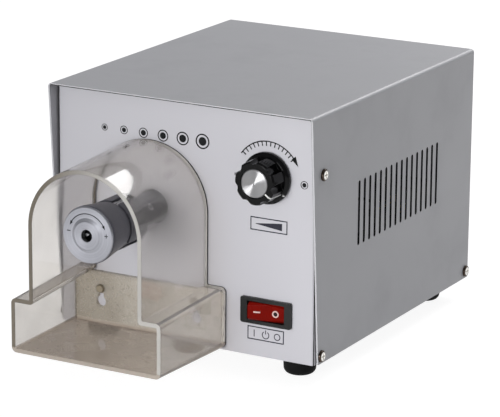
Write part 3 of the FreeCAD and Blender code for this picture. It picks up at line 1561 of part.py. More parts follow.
def make_board():
    plate = block("board_blank", shift(ON_CASE, BOARD_LEFT, "board_front",
                                       "chassis_sheet + board_post"),
                  BOARD_WIDTH, "board_length", "board_thick")
    holes = [rod("board_hole", shift(ON_CASE, x, y), SCREW_HOLE, "board_post * 2")
             for x, y in BOARD_SPOTS]
    return cut("control_board", plate, holes)


def make_posts():
    posts = []
    for x, y in BOARD_SPOTS:
        spot = shift(ON_CASE, x, y, "chassis_sheet")
        outer = rod("post_outer", spot, "board_post_radius", "board_post")
        inner = rod("post_bore", shift(spot, up="-cut_margin"), SCREW_HOLE,
                    "board_post + 2 * cut_margin")
        posts.append(cut("board_post", outer, [inner]))
    return group("board_posts", posts)


def make_board_screws():
    """Screws from above and from below into the threaded posts."""
    upper = pan_screw("board_screw", "pan_head_radius", "pan_head_height", "screw_radius",
                      "board_thick + board_post / 2 - screw_end")
    lower = pan_screw("floor_screw", "pan_head_radius", "pan_head_height", "screw_radius",
                      "chassis_sheet + board_post / 2 - screw_end")
    earth = shift(ON_CASE, "earth_right", "earth_back", "chassis_sheet + earth_sheet")
    copies = [copy_of(lower, earth)]
    for x, y in BOARD_SPOTS:
        copies.append(copy_of(upper, shift(ON_CASE, x, y, BOARD_TOP)))
        copies.append(copy_of(lower, shift(ON_CASE, x, y), DOWN))
    return group("board_screws", copies)


SINK_SPOT = shift(ON_CASE, f"{BOARD_LEFT} + {BOARD_WIDTH} / 2 - sink_width / 2",
                  "board_front + board_length - board_inset * 3 - sink_depth", BOARD_TOP)


def make_heatsink():
    """Extruded comb of aluminium: a plate with upright fins."""
    body = new_body("heatsink", SINK_SPOT)
    plan = new_sketch(body, "XY_Plane")
    draw(plan, rectangle("0", "sink_width", "0", "sink_plate"))
    pad(body, plan, "sink_height")
    fin = new_sketch(body, "XY_Plane")
    draw(fin, rectangle("0", "fin_thick", "sink_plate / 2", "sink_depth"))
    first = pad(body, fin, "sink_height")
    row_pattern(body, first, fin, "H_Axis", "sink_width - fin_thick", "fin_count")
    return body


def make_transistor():
    """Power transistor against the heatsink's plate, with its three legs."""
    corner = shift(SINK_SPOT, "sink_width / 2 - transistor_width / 2", "-transistor_thick",
                   "transistor_lift")
    case = block("transistor_case", corner, "transistor_width", "transistor_thick",
                 "transistor_height")
    legs = [block("transistor_leg", shift(SINK_SPOT, f"sink_width / 2 - leg_width / 2 + {x}",
                                          "-transistor_thick / 2 - leg_thick / 2"),
                  "leg_width", "leg_thick", "transistor_lift + leg_thick")
            for x in ("-leg_pitch", "0", "leg_pitch")]
    return joined("power_transistor", [case, *legs])


def make_capacitor():
    """An upright can with a groove near its top."""
    spot = shift(ON_CASE, f"{BOARD_LEFT} + capacitor_right", "board_front + capacitor_back",
                 BOARD_TOP)
    return turned("filter_capacitor", spot, [
        ("0", "0"), ("capacitor_radius", "0"), ("capacitor_radius", "groove_height - groove_depth"),
        ("capacitor_radius - groove_depth", "groove_height"),
        ("capacitor_radius", "groove_height + groove_depth"),
        ("capacitor_radius", "capacitor_height - capacitor_rim"),
        ("capacitor_radius - capacitor_rim", "capacitor_height"), ("0", "capacitor_height"),
    ], role="XZ_Plane")


# Wiring inside the case

def make_earth_tag():
    """Ring tag under the earth screw, with a tail for its lead."""
    spot = shift(ON_CASE, "earth_right", "earth_back", "chassis_sheet")
    ring = rod("earth_ring", spot, "earth_ring", "earth_sheet")
    tail = block("earth_tail", shift(spot, "-wire_radius * 2", "-earth_tail"), "wire_radius * 4",
                 "earth_tail", "earth_sheet")
    hole = rod("earth_hole", shift(spot, up="-cut_margin"), SCREW_HOLE,
               "earth_sheet + 2 * cut_margin")
    return cut("earth_tag", joined("earth_blank", [ring, tail]), [hole])


def wire_run(label, points):
    """A lead of straight runs joined by round bends, as wide as the runs allow."""
    spots = [Vector(*(number(value) for value in point)) for point in points]
    edges = []
    radii = []
    here = spots[0]
    for before, corner, after in zip(spots, spots[1:], spots[2:]):
        into = (corner - before).normalize()
        out = (after - corner).normalize()
        half_turn = into.getAngle(out) / 2
        setback = number("wire_setback") * min((corner - before).Length, (after - corner).Length)
        radius = setback / math.tan(half_turn)
        inward = (out - into).normalize()
        centre = corner + inward * (radius / math.cos(half_turn))
        start = corner - into * setback
        end = corner + out * setback
        edges.append(Part.LineSegment(here, start).toShape())
        edges.append(Part.Arc(start, centre - inward * radius, end).toShape())
        radii.append(round(radius, 1))
        here = end
    edges.append(Part.LineSegment(here, spots[-1]).toShape())
    path = Part.Wire(edges)
    thickness = number("wire_radius")
    section = Part.Wire(Part.makeCircle(thickness, spots[0], spots[1] - spots[0]))
    lead = doc.addObject("Part::Feature", label)
    lead.Shape = path.makePipeShell([section], True, False)
    share = lead.Shape.Volume / (math.pi * thickness ** 2 * path.Length)
    print(label, "bends", radii, "volume over section times length", round(share, 4))
    lead.Placement = Placement(Vector(0, number(PANEL), number("foot_height")), UP)
    return lead


def make_leads():
    """The wiring, each lead from the piece it leaves to the piece it ends on."""
    pins = [(f"{INLET_X} + {x}", "case_depth - inlet_body_depth - pin_tail",
             f"inlet_height + {z}") for x, z in PIN_SPOTS]
    live, neutral, earth = pins
    tabs = [(f"{SWITCH_X} + {x}", "switch_body_depth + terminal_length", "switch_height")
            for x in TERMINAL_SPOTS]
    brush_end = "(motor_radius + bell_wall)"
    right_brush = (f"{brush_end} - spindle_left", BRUSH, "spindle_height")
    left_brush = (f"-{brush_end} - spindle_left", BRUSH, "spindle_height")
    earth_end = ("earth_right", "earth_back - earth_tail + 2 * wire_radius",
                 "chassis_sheet + earth_sheet")
    pad_right = (f"{BOARD_LEFT} + brush_lead_right", "board_front + brush_lead_back", BOARD_TOP)
    pad_left = shift(pad_right, "-brush_lead_pitch / 2", "-brush_lead_pitch * 1.5")
    pad_neutral = (f"{BOARD_LEFT} + 33", "122", BOARD_TOP)
    pad_live = (f"{SWITCH_X} + 0.7", "50", BOARD_TOP)
    side = f"({HALF} - wire_side_gap)"
    leads = [
        wire_run("live_lead", [
            live, shift(live, back="-15"), (f"{INLET_X} + 6", "124", "48"),
            (f"{side} - 5", "104", "46"), (side, "80", "42"), (f"{side} - 3", "56", "32"),
            shift(tabs[2], back="15"), tabs[2],
        ]),
        wire_run("neutral_lead", [
            neutral, shift(neutral, back="-14"), (f"{INLET_X} + 8", "132", "36"),
            shift(pad_neutral, up="15"), pad_neutral,
        ]),
        wire_run("earth_lead", [
            earth, shift(earth, back="-13"), (f"{INLET_X} - 11", "140", "54"),
            shift(earth_end, "1", "-2", "37"), shift(earth_end, up="18"), earth_end,
        ]),
        wire_run("switched_lead", [
            tabs[1], shift(tabs[1], back="12"), shift(pad_live, up="11"), pad_live,
        ]),
        wire_run("right_brush_lead", [
            right_brush, shift(right_brush, "14"), ("31", "91", "58"), ("25", "88", "40"),
            shift(pad_right, up="15"), pad_right,
        ]),
        wire_run("left_brush_lead", [
            left_brush, shift(left_brush, "-13"), ("-70", "98", "58"), ("-64", "100", "40"),
            ("-48", "101", "24"), ("-24", "101", "17"), ("0", "98", "20"), ("14", "90", "28"),
            shift(pad_left, up="16"), pad_left,
        ]),
    ]
    for x in TAG_SPOTS:
        column = f"{KNOB_X} + {x}"
        tag = (column, "chassis_sheet + pot_shaft_tail + tag_thick / 2",
               f"knob_height + {POT_TAG_END}")
        leads.append(wire_run("knob_lead", [
            tag, shift(tag, up="-19"), (column, "20", "52"), (column, "46", "46"),
            (column, "72", "42"), (column, "pot_lead_back", "27"),
            (column, "pot_lead_back", BOARD_TOP),
        ]))
    return group("lead_wires", leads)


def make_all():
    """Builds every piece, in the order that the machine goes together."""
    outer_rings, inner_rings, balls = make_bearings()
    nodes = {
        "chassis": make_chassis(),
        "rubber_feet": make_feet(),
        "foot_screws": make_foot_screws(),
        "small_nuts": make_nuts(),
        "motor_bracket": make_bracket(),
        "bracket_screws": make_bracket_screws(),
        "motor_screws": make_motor_screws(),
        "motor_front_bell": make_front_bell(),
        "motor_can": make_can(),
        "motor_magnets": make_magnets(),
        "motor_rear_bell": make_rear_bell(),
        "carbon_brushes": make_brushes(),
        "brush_caps": make_brush_caps(),
        "bearing_outer_rings": outer_rings,
        "bearing_balls": balls,
        "bearing_inner_rings": inner_rings,
        "motor_shaft": make_shaft(),
        "armature_core": make_core(),
        "armature_windings": make_windings(),
        "commutator": make_commutator(),
        "spindle_hub": make_hub(),
        "hub_grub_screws": make_hub_grubs(),
        "head_body": make_head_body(),
        "pivot_pins": make_pins(),
        "return_ring": make_return_ring(),
        "adjusting_sleeve": make_sleeve(),
        "face_disc": make_face_disc(),
        "clear_guard": make_guard(),
        "guard_screws": make_guard_screws(),
        "speed_knob": make_knob(),
        "knob_cap": make_knob_cap(),
        "knob_grub_screw": make_knob_grub(),
        "pot_shaft": make_pot_shaft(),
        "speed_pot": make_pot(),
        "pot_nut": make_pot_nut(),
        "switch_housing": make_switch_housing(),
        "switch_rocker": make_rocker(),
        "switch_terminals": make_switch_terminals(),
        "power_inlet": make_inlet(),
        "inlet_pins": make_inlet_pins(),
        "inlet_screws": make_inlet_screws(),
        "fuse_drawer": make_fuse_drawer(),
        "fuse": make_fuse(),
        "control_board": make_board(),
        "board_posts": make_posts(),
        "board_screws": make_board_screws(),
        "heatsink": make_heatsink(),
        "power_transistor": make_transistor(),
        "filter_capacitor": make_capacitor(),
        "earth_tag": make_earth_tag(),
        "lead_wires": make_leads(),
        "top_cover": make_cover(),
        "cover_screws": make_cover_screws(),
    }
    for index, angle in enumerate(BLADE_ANGLES, start=1):
        nodes[f"blade_arm_{index}"] = make_arm(index, angle)
        nodes[f"blade_{index}"] = make_blade(index, angle)
    return nodes


def check(nodes):
    """Stops if any feature failed or any piece isn't a sound solid."""
    doc.recompute()
    for thing in doc.Objects:
        if "Invalid" in thing.State or "Error" in thing.State:
            raise RuntimeError(f"{thing.Name} failed: {thing.State}")
    for name, thing in nodes.items():
        shape = thing.Shape
        if shape.isNull() or not shape.isValid() or not shape.Solids:
            raise RuntimeError(f"{name} has no sound solid")


def write(nodes):
    os.makedirs("parts", exist_ok=True)
    for name, thing in nodes.items():
        thing.Label = name
        thing.Shape.exportStep(os.path.join("parts", f"{name}.step"))


fill_sheet()
pieces = make_all()
check(pieces)
write(pieces)
print(len(pieces), "pieces")
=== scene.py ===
import math

import bmesh
import bpy
from mathutils import Matrix, Vector


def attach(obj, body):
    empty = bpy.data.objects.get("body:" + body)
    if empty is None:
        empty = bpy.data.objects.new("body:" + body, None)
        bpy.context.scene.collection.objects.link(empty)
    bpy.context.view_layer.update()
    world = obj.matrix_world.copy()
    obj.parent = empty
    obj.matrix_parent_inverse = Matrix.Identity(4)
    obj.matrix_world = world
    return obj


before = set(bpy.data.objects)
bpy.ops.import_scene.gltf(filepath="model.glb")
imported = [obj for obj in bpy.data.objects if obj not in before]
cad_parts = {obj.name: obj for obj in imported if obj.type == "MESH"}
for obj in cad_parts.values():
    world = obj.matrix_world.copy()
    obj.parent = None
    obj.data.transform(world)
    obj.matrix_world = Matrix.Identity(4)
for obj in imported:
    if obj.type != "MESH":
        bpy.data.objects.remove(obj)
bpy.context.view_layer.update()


# The photographer's view: a long lens, off to the right and a little above.
# The place was fitted to the case's edges in the photograph, 500 x 417 pixels.
eye = Vector((0.7236, -1.2955, 0.4861))
ahead = Vector((-0.46735, 0.84208, -0.26925)).normalized()
across = ahead.cross(Vector((0, 0, 1))).normalized()
across = Matrix.Rotation(math.radians(-0.497), 3, ahead) @ across
upward = across.cross(ahead)
camera = bpy.data.objects.new("camera", bpy.data.cameras.new("camera"))
bpy.context.scene.collection.objects.link(camera)
axes = Matrix((across, upward, -ahead)).transposed()
camera.matrix_world = Matrix.Translation(eye) @ axes.to_4x4()
camera.data.sensor_width = 36
camera.data.lens = 199.6
bpy.context.scene.camera = camera
bpy.context.scene.view_settings.view_transform = "Standard"


# The chassis: front panel, floor and back bent from one sheet of steel, with
# flanges along the sides. It is stove-enamelled in a light silver grey, which
# gives a soft gloss over a very fine metallic grain.
MM = 0.001
# Where painted shade lies on the panel's side edges, in x and in y, in mm.
LEFT_GAP, RIGHT_GAP = (-90, -78.7), (78.95, 79.3)
BY_PANEL = (-90, -60)


def linear(colour):
    """The linear RGBA of an sRGB hex colour."""
    parts = [int(colour[i:i + 2], 16) / 255 for i in (0, 2, 4)]
    return tuple(p / 12.92 if p <= 0.04045 else ((p + 0.055) / 1.055) ** 2.4
                 for p in parts) + (1.0,)


def add(tree, kind, feeds=None, **settings):
    """Adds a node. feeds gives its inputs, by name or number: each is a value or
    the output, or the node, that feeds it."""
    made = tree.nodes.new(kind)
    for name, value in settings.items():
        setattr(made, name, value)
    for name, value in (feeds or {}).items():
        if isinstance(value, bpy.types.Node):
            value = value.outputs[0]
        if isinstance(value, bpy.types.NodeSocket):
            tree.links.new(value, made.inputs[name])
        else:
            made.inputs[name].default_value = value
    return made


def calc(tree, operation, *values):
    """Arithmetic on one or two values."""
    return add(tree, "ShaderNodeMath", dict(enumerate(values)), operation=operation)


def ramp(tree, value, low, high, start, end):
    """Takes low to high on to start to end, and keeps within them."""
    return add(tree, "ShaderNodeMapRange", {0: value, 1: low, 2: high, 3: start, 4: end})


def within(tree, value, low, high):
    """1 where a value lies between two others, in mm."""
    return calc(tree, "MULTIPLY", calc(tree, "GREATER_THAN", value, low * MM),
                calc(tree, "LESS_THAN", value, high * MM))


def clouds(tree, place, size, detail, **more):
    """An uneven pattern with a grain of about size mm."""
    return add(tree, "ShaderNodeTexNoise", {
        "Vector": place, "Scale": 1 / (size * MM), "Detail": detail, **more})


def blend(tree, mask, one, two):
    """Colour one where the mask is 0 and two where it is 1: hex, or an output."""
    one, two = (linear(colour) if isinstance(colour, str) else colour for colour in (one, two))
    return add(tree, "ShaderNodeMix", {0: mask, 6: one, 7: two}, data_type="RGBA").outputs[2]


def bumps(tree, height, strength, depth, **more):
    """Fine relief, depth mm deep."""
    return add(tree, "ShaderNodeBump", {
        "Height": height, "Strength": strength, "Distance": depth * MM, **more})


def open_finish(name):
    """A new material, with the object coordinates that its patterns lie in."""
    made = bpy.data.materials.new(name)
    made.use_nodes = True
    made.node_tree.nodes.clear()
    return made, made.node_tree, add(made.node_tree, "ShaderNodeTexCoord").outputs["Object"]


def close_finish(tree, feeds):
    """Ends a material in one shader."""
    shader = add(tree, "ShaderNodeBsdfPrincipled", feeds)
    add(tree, "ShaderNodeOutputMaterial", {"Surface": shader})


def dress(finish, *nodes):
    """Gives a finish to the CAD pieces that have it."""
    for node in nodes:
        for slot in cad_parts[node].material_slots:
            slot.material = finish


def enamelled(name, pale, deep, smear, roughness, front_tone_and_highlight, inside):
    """Sprayed metallic enamel: 0.1 mm flakes drawn at 0.5 mm so that they show, an
    orange peel of 1.8 mm, and hand marks some 35 mm wide that shift the gloss. Bends and
    forward faces take one more colour: on the cover a paler one, a painted highlight;
    on the chassis, whose panel faces forward, the panel's own tone. inside masks
    painted shade: near black and matt."""
    made, tree, place = open_finish(name)
    flakes = clouds(tree, place, 0.5, 1.0)
    marks = clouds(tree, place, 35, 4.0, Roughness=0.6)
    peel = clouds(tree, place, 1.8, 2.0)
    grain = blend(tree, flakes, deep, pale)
    enamel_tone = blend(tree, ramp(tree, marks, 0.5, 0.72, 0.0, 0.35), grain, smear)
    facing = add(tree, "ShaderNodeSeparateXYZ", {0: place.node.outputs["Normal"]}).outputs
    # Painted highlight: masks, from the normals, of the bends and of forward faces.
    folded = calc(tree, "MULTIPLY", calc(tree, "ABSOLUTE", facing[0]), facing[2])
    on_bend = ramp(tree, folded, 0.2, 0.45, 0.0, 0.8)
    on_edge = ramp(tree, facing[1], -0.5, -0.9, 0.0, 1.0)
    enamel_tone = blend(tree, calc(tree, "MAXIMUM", on_bend, on_edge), enamel_tone, front_tone_and_highlight)
    gloss = ramp(tree, marks, 0.35, 0.7, roughness - 0.03, roughness + 0.05)
    # Painted shade: what inside masks is coloured near black and made matt.
    painted_shade_mask = inside(tree, place)
    enamel_tone = blend(tree, painted_shade_mask, enamel_tone, "080808")
    gloss = add(tree, "ShaderNodeMix", {0: painted_shade_mask, 2: gloss, 3: 0.95}, data_type="FLOAT")
    close_finish(tree, {"Base Color": enamel_tone, "Roughness": gloss, "IOR": 1.52,
                        "Normal": bumps(tree, peel, 0.12, 0.03)})
    return made


def painted_shade_at_panel_sides(tree, place):
    """The panel's side edges, behind the cover's lips, where shade is painted: the dark slit
    there.
    """
    part = add(tree, "ShaderNodeSeparateXYZ", {0: place}).outputs
    side = calc(tree, "MAXIMUM", within(tree, part[0], *LEFT_GAP),
                within(tree, part[0], *RIGHT_GAP))
    return calc(tree, "MULTIPLY", side, within(tree, part[1], *BY_PANEL))


# The chassis takes painted shade at its side edges by the cover.
dress(enamelled("silver_stoved_enamel", "d6d5db", "c6c5cc", "bdbcc2", 0.36, "d0cfd5",
                painted_shade_at_panel_sides), "chassis")


# The printing on the panel: black ink pressed through a screen, a few
# hundredths of a millimetre proud, so it lies on the enamel and shines less.
PANEL = -64.6
INK = 0.06
FLOAT, INT = "NodeSocketFloat", "NodeSocketInt"
on_panel = Matrix.Translation((0, PANEL * MM, 0))


def screen_ink(name, pale, deep):
    """Screen ink: matt, with a mesh mottle of 0.3 mm drawn at 0.8 mm."""
    made, tree, place = open_finish(name)
    tone = blend(tree, clouds(tree, place, 0.8, 2.0), deep, pale)
    close_finish(tree, {"Base Color": tone, "Roughness": 0.62, "IOR": 1.5,
                        "Specular IOR Level": 0.2})
    return made


black_ink = screen_ink("black_screen_ink", "17171a", "0c0c0f")
frame_ink = screen_ink("thin_grey_screen_ink", "3a3a46", "2a2a34")


def piece(name, mesh, finish, body):
    """A finished mesh as a piece that rides on a body."""
    if finish:
        mesh.materials.clear()
        mesh.materials.append(finish)
    made = bpy.data.objects.new(name, mesh)
    bpy.context.scene.collection.objects.link(made)
    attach(made, body)


def printed(outlines, place, thick=INK):
    """Flat shapes as a mesh: closed outlines in mm, x right and z up, where one
    inside another is a hole. place sets them, with their backs on its plane."""
    curve = bpy.data.curves.new("outline", "CURVE")
    curve.dimensions = "2D"
    curve.fill_mode = "BOTH"
    curve.extrude = thick / 2 * MM
    for outline in outlines:
        spline = curve.splines.new("POLY")
        spline.points.add(len(outline) - 1)
        for point, (x, z) in zip(spline.points, outline):
            point.co = (x * MM, z * MM, 0, 1)
        spline.use_cyclic_u = True
    holder = bpy.data.objects.new("outline", curve)
    mesh = bpy.data.meshes.new_from_object(holder)
    bpy.data.objects.remove(holder)
    upright = Matrix.Rotation(math.radians(90), 4, "X")
    mesh.transform(place @ Matrix.Translation((0, -thick / 2 * MM, 0)) @ upright)
    return mesh


def joined(meshes):
    """Several meshes as one, with doubles merged and faces outward."""
    whole = bmesh.new()
    for mesh in meshes:
        whole.from_mesh(mesh)
        bpy.data.meshes.remove(mesh)
    bmesh.ops.remove_doubles(whole, verts=whole.verts, dist=0.002 * MM)
    bmesh.ops.recalc_face_normals(whole, faces=whole.faces)
    mesh = bpy.data.meshes.new("joined")
    whole.to_mesh(mesh)
    whole.free()
    return mesh


def on_clock(x, z, radius, turn):
    """The point at a clock angle in radians round another."""
    return x + radius * math.sin(turn), z + radius * math.cos(turn)


def clock_arc(x, z, radius, start, end, steps):
    """Points on an arc, from one clock angle in degrees to another."""
    angles = (math.radians(start + (end - start) * i / steps) for i in range(steps + 1))
    return [on_clock(x, z, radius, turn) for turn in angles]


def ring_sector(x, z, inner, outer, start, end, steps=48):
    """A band between two radii, from one clock angle in degrees to another."""
    return (clock_arc(x, z, outer, start, end, steps)
            + clock_arc(x, z, inner, start, end, steps)[::-1])


def circle(x, z, radius, steps=32):
    return [on_clock(x, z, radius, 2 * math.pi * i / steps) for i in range(steps)]


def box_outline(left, right, low, high):
    return [(left, low), (right, low), (right, high), (left, high)]


def grow(name, tree, sizes):
    """The plain mesh that a Geometry Nodes tree makes with these sizes."""
    holder = bpy.data.objects.new(name, bpy.data.meshes.new(name))
    bpy.context.scene.collection.objects.link(holder)
    grower = holder.modifiers.new(name, "NODES")
    grower.node_group = tree
    for item in tree.interface.items_tree:
        if item.name in sizes:
            grower[item.identifier] = sizes[item.name]
    seen = holder.evaluated_get(bpy.context.evaluated_depsgraph_get())
    mesh = bpy.data.meshes.new_from_object(seen)
    holder.modifiers.clear()
    bpy.data.objects.remove(holder)
    return mesh


def open_tree(name, inputs):
    """A Geometry Nodes tree with named number inputs."""
    tree = bpy.data.node_groups.new(name, "GeometryNodeTree")
    tree.interface.new_socket("Geometry", in_out="OUTPUT", socket_type="NodeSocketGeometry")
    for label, kind in inputs.items():
        tree.interface.new_socket(label, in_out="INPUT", socket_type=kind)
    return tree, add(tree, "NodeGroupInput").outputs


def close_tree(tree, geometry, finish):
    """Ends a tree in real geometry with its finish."""
    real = add(tree, "GeometryNodeRealizeInstances", {"Geometry": geometry})
    inked = add(tree, "GeometryNodeSetMaterial", {"Geometry": real, "Material": finish})
    add(tree, "NodeGroupOutput", {"Geometry": inked})


# The knob's scale: ticks at even angles, hung inward from a thin arc that ends
# in an arrow head at its clockwise end.
DIAL = (51.0, 110.9)
DIAL_RADIUS = 19.5
ARC_START, ARC_END, ARC_HALF_LINE = -55.0, 55.0, 0.32
TICKS, TICKS_START, TICKS_END = 14, -51.0, 52.5
ARROW_AT = 57.5
tree, given = open_tree("dial_ticks", {
    "Radius": FLOAT, "Start": FLOAT, "End": FLOAT, "Ticks": INT, "Length": FLOAT,
    "Width": FLOAT, "Depth": FLOAT})
spots = add(tree, "GeometryNodePoints", {"Count": given["Ticks"]})
last = calc(tree, "SUBTRACT", given["Ticks"], 1.0)
angle = ramp(tree, add(tree, "GeometryNodeInputIndex"), 0.0, last, given["Start"], given["End"])
half_length = calc(tree, "MULTIPLY", given["Length"], 0.5)
middle = calc(tree, "SUBTRACT", given["Radius"], half_length)
spot = add(tree, "ShaderNodeCombineXYZ", {
    0: calc(tree, "MULTIPLY", middle, calc(tree, "SINE", angle)),
    2: calc(tree, "MULTIPLY", middle, calc(tree, "COSINE", angle))})
set_out = add(tree, "GeometryNodeSetPosition", {"Geometry": spots, "Position": spot})
bar = add(tree, "GeometryNodeMeshCube", {"Size": add(tree, "ShaderNodeCombineXYZ", {
    0: given["Width"], 1: given["Depth"], 2: given["Length"]})})
ticks = add(tree, "GeometryNodeInstanceOnPoints", {
    "Points": set_out, "Instance": bar,
    "Rotation": add(tree, "ShaderNodeCombineXYZ", {1: angle})})
close_tree(tree, ticks, black_ink)
scale_ticks = grow("dial_ticks", tree, {
    "Radius": DIAL_RADIUS * MM, "Start": math.radians(TICKS_START),
    "End": math.radians(TICKS_END), "Ticks": TICKS, "Length": 2.5 * MM, "Width": 0.62 * MM,
    "Depth": INK * MM})
scale_ticks.transform(Matrix.Translation(
    (DIAL[0] * MM, (PANEL - INK / 2) * MM, DIAL[1] * MM)))
piece("dial_ticks", scale_ticks, None, "case")

# The arrow head's corners, in mm along the arc and out from it.
arrow = [on_clock(*DIAL, DIAL_RADIUS + out, math.radians(ARROW_AT) + along / DIAL_RADIUS)
         for along, out in ((-2.4, 1.75), (2.9, 0.2), (-2.4, -1.35))]
scale_arc = ring_sector(*DIAL, DIAL_RADIUS - ARC_HALF_LINE, DIAL_RADIUS + ARC_HALF_LINE,
                        ARC_START, ARC_END)
piece("dial_arc", joined([printed([scale_arc], on_panel), printed([arrow], on_panel)]),
      black_ink, "case")

# Wire ends in section, a core in its ring of enamel: a thin and a thick one
# beside the dial, and a row that grows from left to right over the guard.
CORE, RING, RING_LINE = 0.56, 0.91, 0.18
tree, given = open_tree("wire_sections", {
    "Count": INT, "Pitch": FLOAT, "First": FLOAT, "Last": FLOAT, "Depth": FLOAT})
spots = add(tree, "GeometryNodeMeshLine", {
    "Count": given["Count"], "Offset": add(tree, "ShaderNodeCombineXYZ", {0: given["Pitch"]})})
last = calc(tree, "SUBTRACT", given["Count"], 1.0)
radius = ramp(tree, add(tree, "GeometryNodeInputIndex"), 0.0, last, given["First"],
              given["Last"])
core = add(tree, "GeometryNodeMeshCylinder", {
    "Vertices": 32, "Radius": CORE, "Depth": given["Depth"]})
rim_path = add(tree, "GeometryNodeCurvePrimitiveCircle", {"Resolution": 40, "Radius": RING})
rim_line = add(tree, "GeometryNodeCurvePrimitiveQuadrilateral", {
    0: RING_LINE, 1: given["Depth"]})
rim = add(tree, "GeometryNodeCurveToMesh", {"Curve": rim_path, "Profile Curve": rim_line})
section = add(tree, "GeometryNodeJoinGeometry")
tree.links.new(core.outputs[0], section.inputs[0])
tree.links.new(rim.outputs[0], section.inputs[0])
upright = add(tree, "GeometryNodeTransform", {
    "Geometry": section, "Rotation": (math.pi / 2, 0, 0)})
grown = add(tree, "ShaderNodeCombineXYZ", {0: radius, 1: 1.0, 2: radius})
row = add(tree, "GeometryNodeInstanceOnPoints", {
    "Points": spots, "Instance": upright, "Scale": grown})
close_tree(tree, row, black_ink)


def wire_sections(name, x, z, count, pitch, first, last):
    mesh = grow(name, tree, {"Count": count, "Pitch": pitch * MM, "First": first * MM,
                             "Last": last * MM, "Depth": INK * MM})
    mesh.transform(Matrix.Translation((x * MM, (PANEL - INK / 2) * MM, z * MM)))
    piece(name, mesh, None, "case")


wire_sections("gauge_row", -49.6, 125.2, 6, 12.2, 1.9, 4.2)
wire_sections("thin_wire_mark", 31.8, 110.2, 1, 1.0, 1.0, 1.0)
wire_sections("thick_wire_mark", 72.7, 109.7, 1, 1.0, 2.2, 2.2)


# Two framed labels: a growing wedge under the dial, and on, standby and off
# under the switch.
def label_frame(left, right, low, high, line=0.6):
    return [box_outline(left, right, low, high),
            box_outline(left + line, right - line, low + line, high - line)]


wedge = [(44.0, 84.75), (59.8, 82.9), (59.8, 86.9), (44.0, 85.05)]
piece("diameter_label", joined([
    printed(label_frame(40.8, 63.0, 81.2, 88.6), on_panel), printed([wedge], on_panel)]),
    frame_ink, "case")

STANDBY = (50.6, 23.9)
piece("switch_label", joined([
    printed(label_frame(39.6, 61.7, 20.4, 27.9), on_panel),
    printed([ring_sector(*STANDBY, 1.75, 2.25, 32, 328)], on_panel),
    printed([box_outline(STANDBY[0] - 0.25, STANDBY[0] + 0.25,
                         STANDBY[1] + 0.5, STANDBY[1] + 2.7)], on_panel),
    printed([box_outline(43.4, 43.9, 22.1, 26.0)], on_panel),
    printed([circle(57.6, STANDBY[1], 1.95), circle(57.6, STANDBY[1], 1.45)], on_panel)]),
    frame_ink, "case")


# Four feet of moulded rubber, each pulled up by a zinc-plated screw with its
# nut inside the case. Rubber is matt, and greys a little where dust sits.
black_rubber, tree, place = open_finish("black_moulded_rubber")
dusty = ramp(tree, clouds(tree, place, 4, 5.0), 0.45, 0.8, 0.0, 0.5)
skin = clouds(tree, place, 0.6, 2.0)
close_finish(tree, {"Base Color": blend(tree, dusty, "060607", "111110"), "Roughness": 0.72,
                    "Normal": bumps(tree, skin, 0.35, 0.05), "IOR": 1.52,
                    "Specular IOR Level": 0.14})
dress(black_rubber, "rubber_feet")


def metal(name, pale, deep, roughness, grain, drawn=(1, 1, 1)):
    """Bare or plated metal. grain is the size in mm of its marks, which drawn
    stretches along the way that it was ground, drawn or turned."""
    made, tree, place = open_finish(name)
    lie = add(tree, "ShaderNodeMapping", {"Vector": place, "Scale": drawn})
    marks = clouds(tree, lie, grain, 4.0, Roughness=0.65)
    gloss = ramp(tree, marks, 0.3, 0.7, roughness * 0.75, roughness * 1.3)
    close_finish(tree, {"Base Color": blend(tree, marks, deep, pale), "Metallic": 1.0,
                        "Roughness": gloss, "Normal": bumps(tree, marks, 0.15, 0.02)})
    return made


# Bright zinc has a crystal bloom about a millimetre across.
dress(metal("bright_zinc_plate", "d9dbd8", "b4b7b3", 0.3, 1.0), "foot_screws", "small_nuts",
      "bracket_screws", "motor_screws", "knob_grub_screw", "speed_pot", "pot_nut",
      "inlet_screws", "board_screws")


# The motor's bracket, folded steel in black paint, and the motor on it: a
# drawn steel can between two cast aluminium bells, four screws through them.
def black_paint(name, pale, deep, roughness, grain):
    """Black paint on steel, with a fine texture of its own."""
    made, tree, place = open_finish(name)
    fleck = clouds(tree, place, grain, 3.0)
    close_finish(tree, {"Base Color": blend(tree, fleck, deep, pale), "Roughness": roughness,
                        "Normal": bumps(tree, fleck, 0.25, 0.04), "IOR": 1.5})
    return made


dress(black_paint("textured_black_powder_coat", "47484c", "303135", 0.55, 1.2),
      "motor_bracket")
dress(black_paint("satin_black_motor_paint", "3a3b3e", "2b2c2f", 0.4, 0.9), "motor_can")
dress(metal("cast_aluminium", "cfd0d1", "9fa1a3", 0.5, 1.4), "motor_front_bell",
      "motor_rear_bell", "pot_shaft")

# Sintered ferrite is a dull charcoal grey with a gritty skin.
sintered, tree, place = open_finish("sintered_ferrite")
grit = clouds(tree, place, 0.7, 4.0)
close_finish(tree, {"Base Color": blend(tree, grit, "36363a", "55565a"), "Roughness": 0.8,
                    "Normal": bumps(tree, grit, 0.4, 0.06)})
dress(sintered, "motor_magnets")


# What turns in the motor: a ground shaft, a core of stamped sheets 0.5 mm
# thick, enamelled copper coils and a turned commutator with carbon brushes.
def ribbed(name, pale, deep, roughness, metallic, pitch, relief=0.5, wander=0.0):
    """Rings or layers at an even pitch in mm, one after another along the spindle."""
    made, tree, place = open_finish(name)
    lie = add(tree, "ShaderNodeMapping", {
        "Vector": place, "Rotation": (0, 0, math.radians(90))})
    bands = add(tree, "ShaderNodeTexWave", {
        "Vector": lie, "Scale": 0.314 / (pitch * MM), "Distortion": wander},
        bands_direction="X").outputs["Fac"]
    close_finish(tree, {"Base Color": blend(tree, bands, deep, pale), "Metallic": metallic,
                        "Roughness": roughness, "Normal": bumps(tree, bands, relief, 0.08)})
    return made


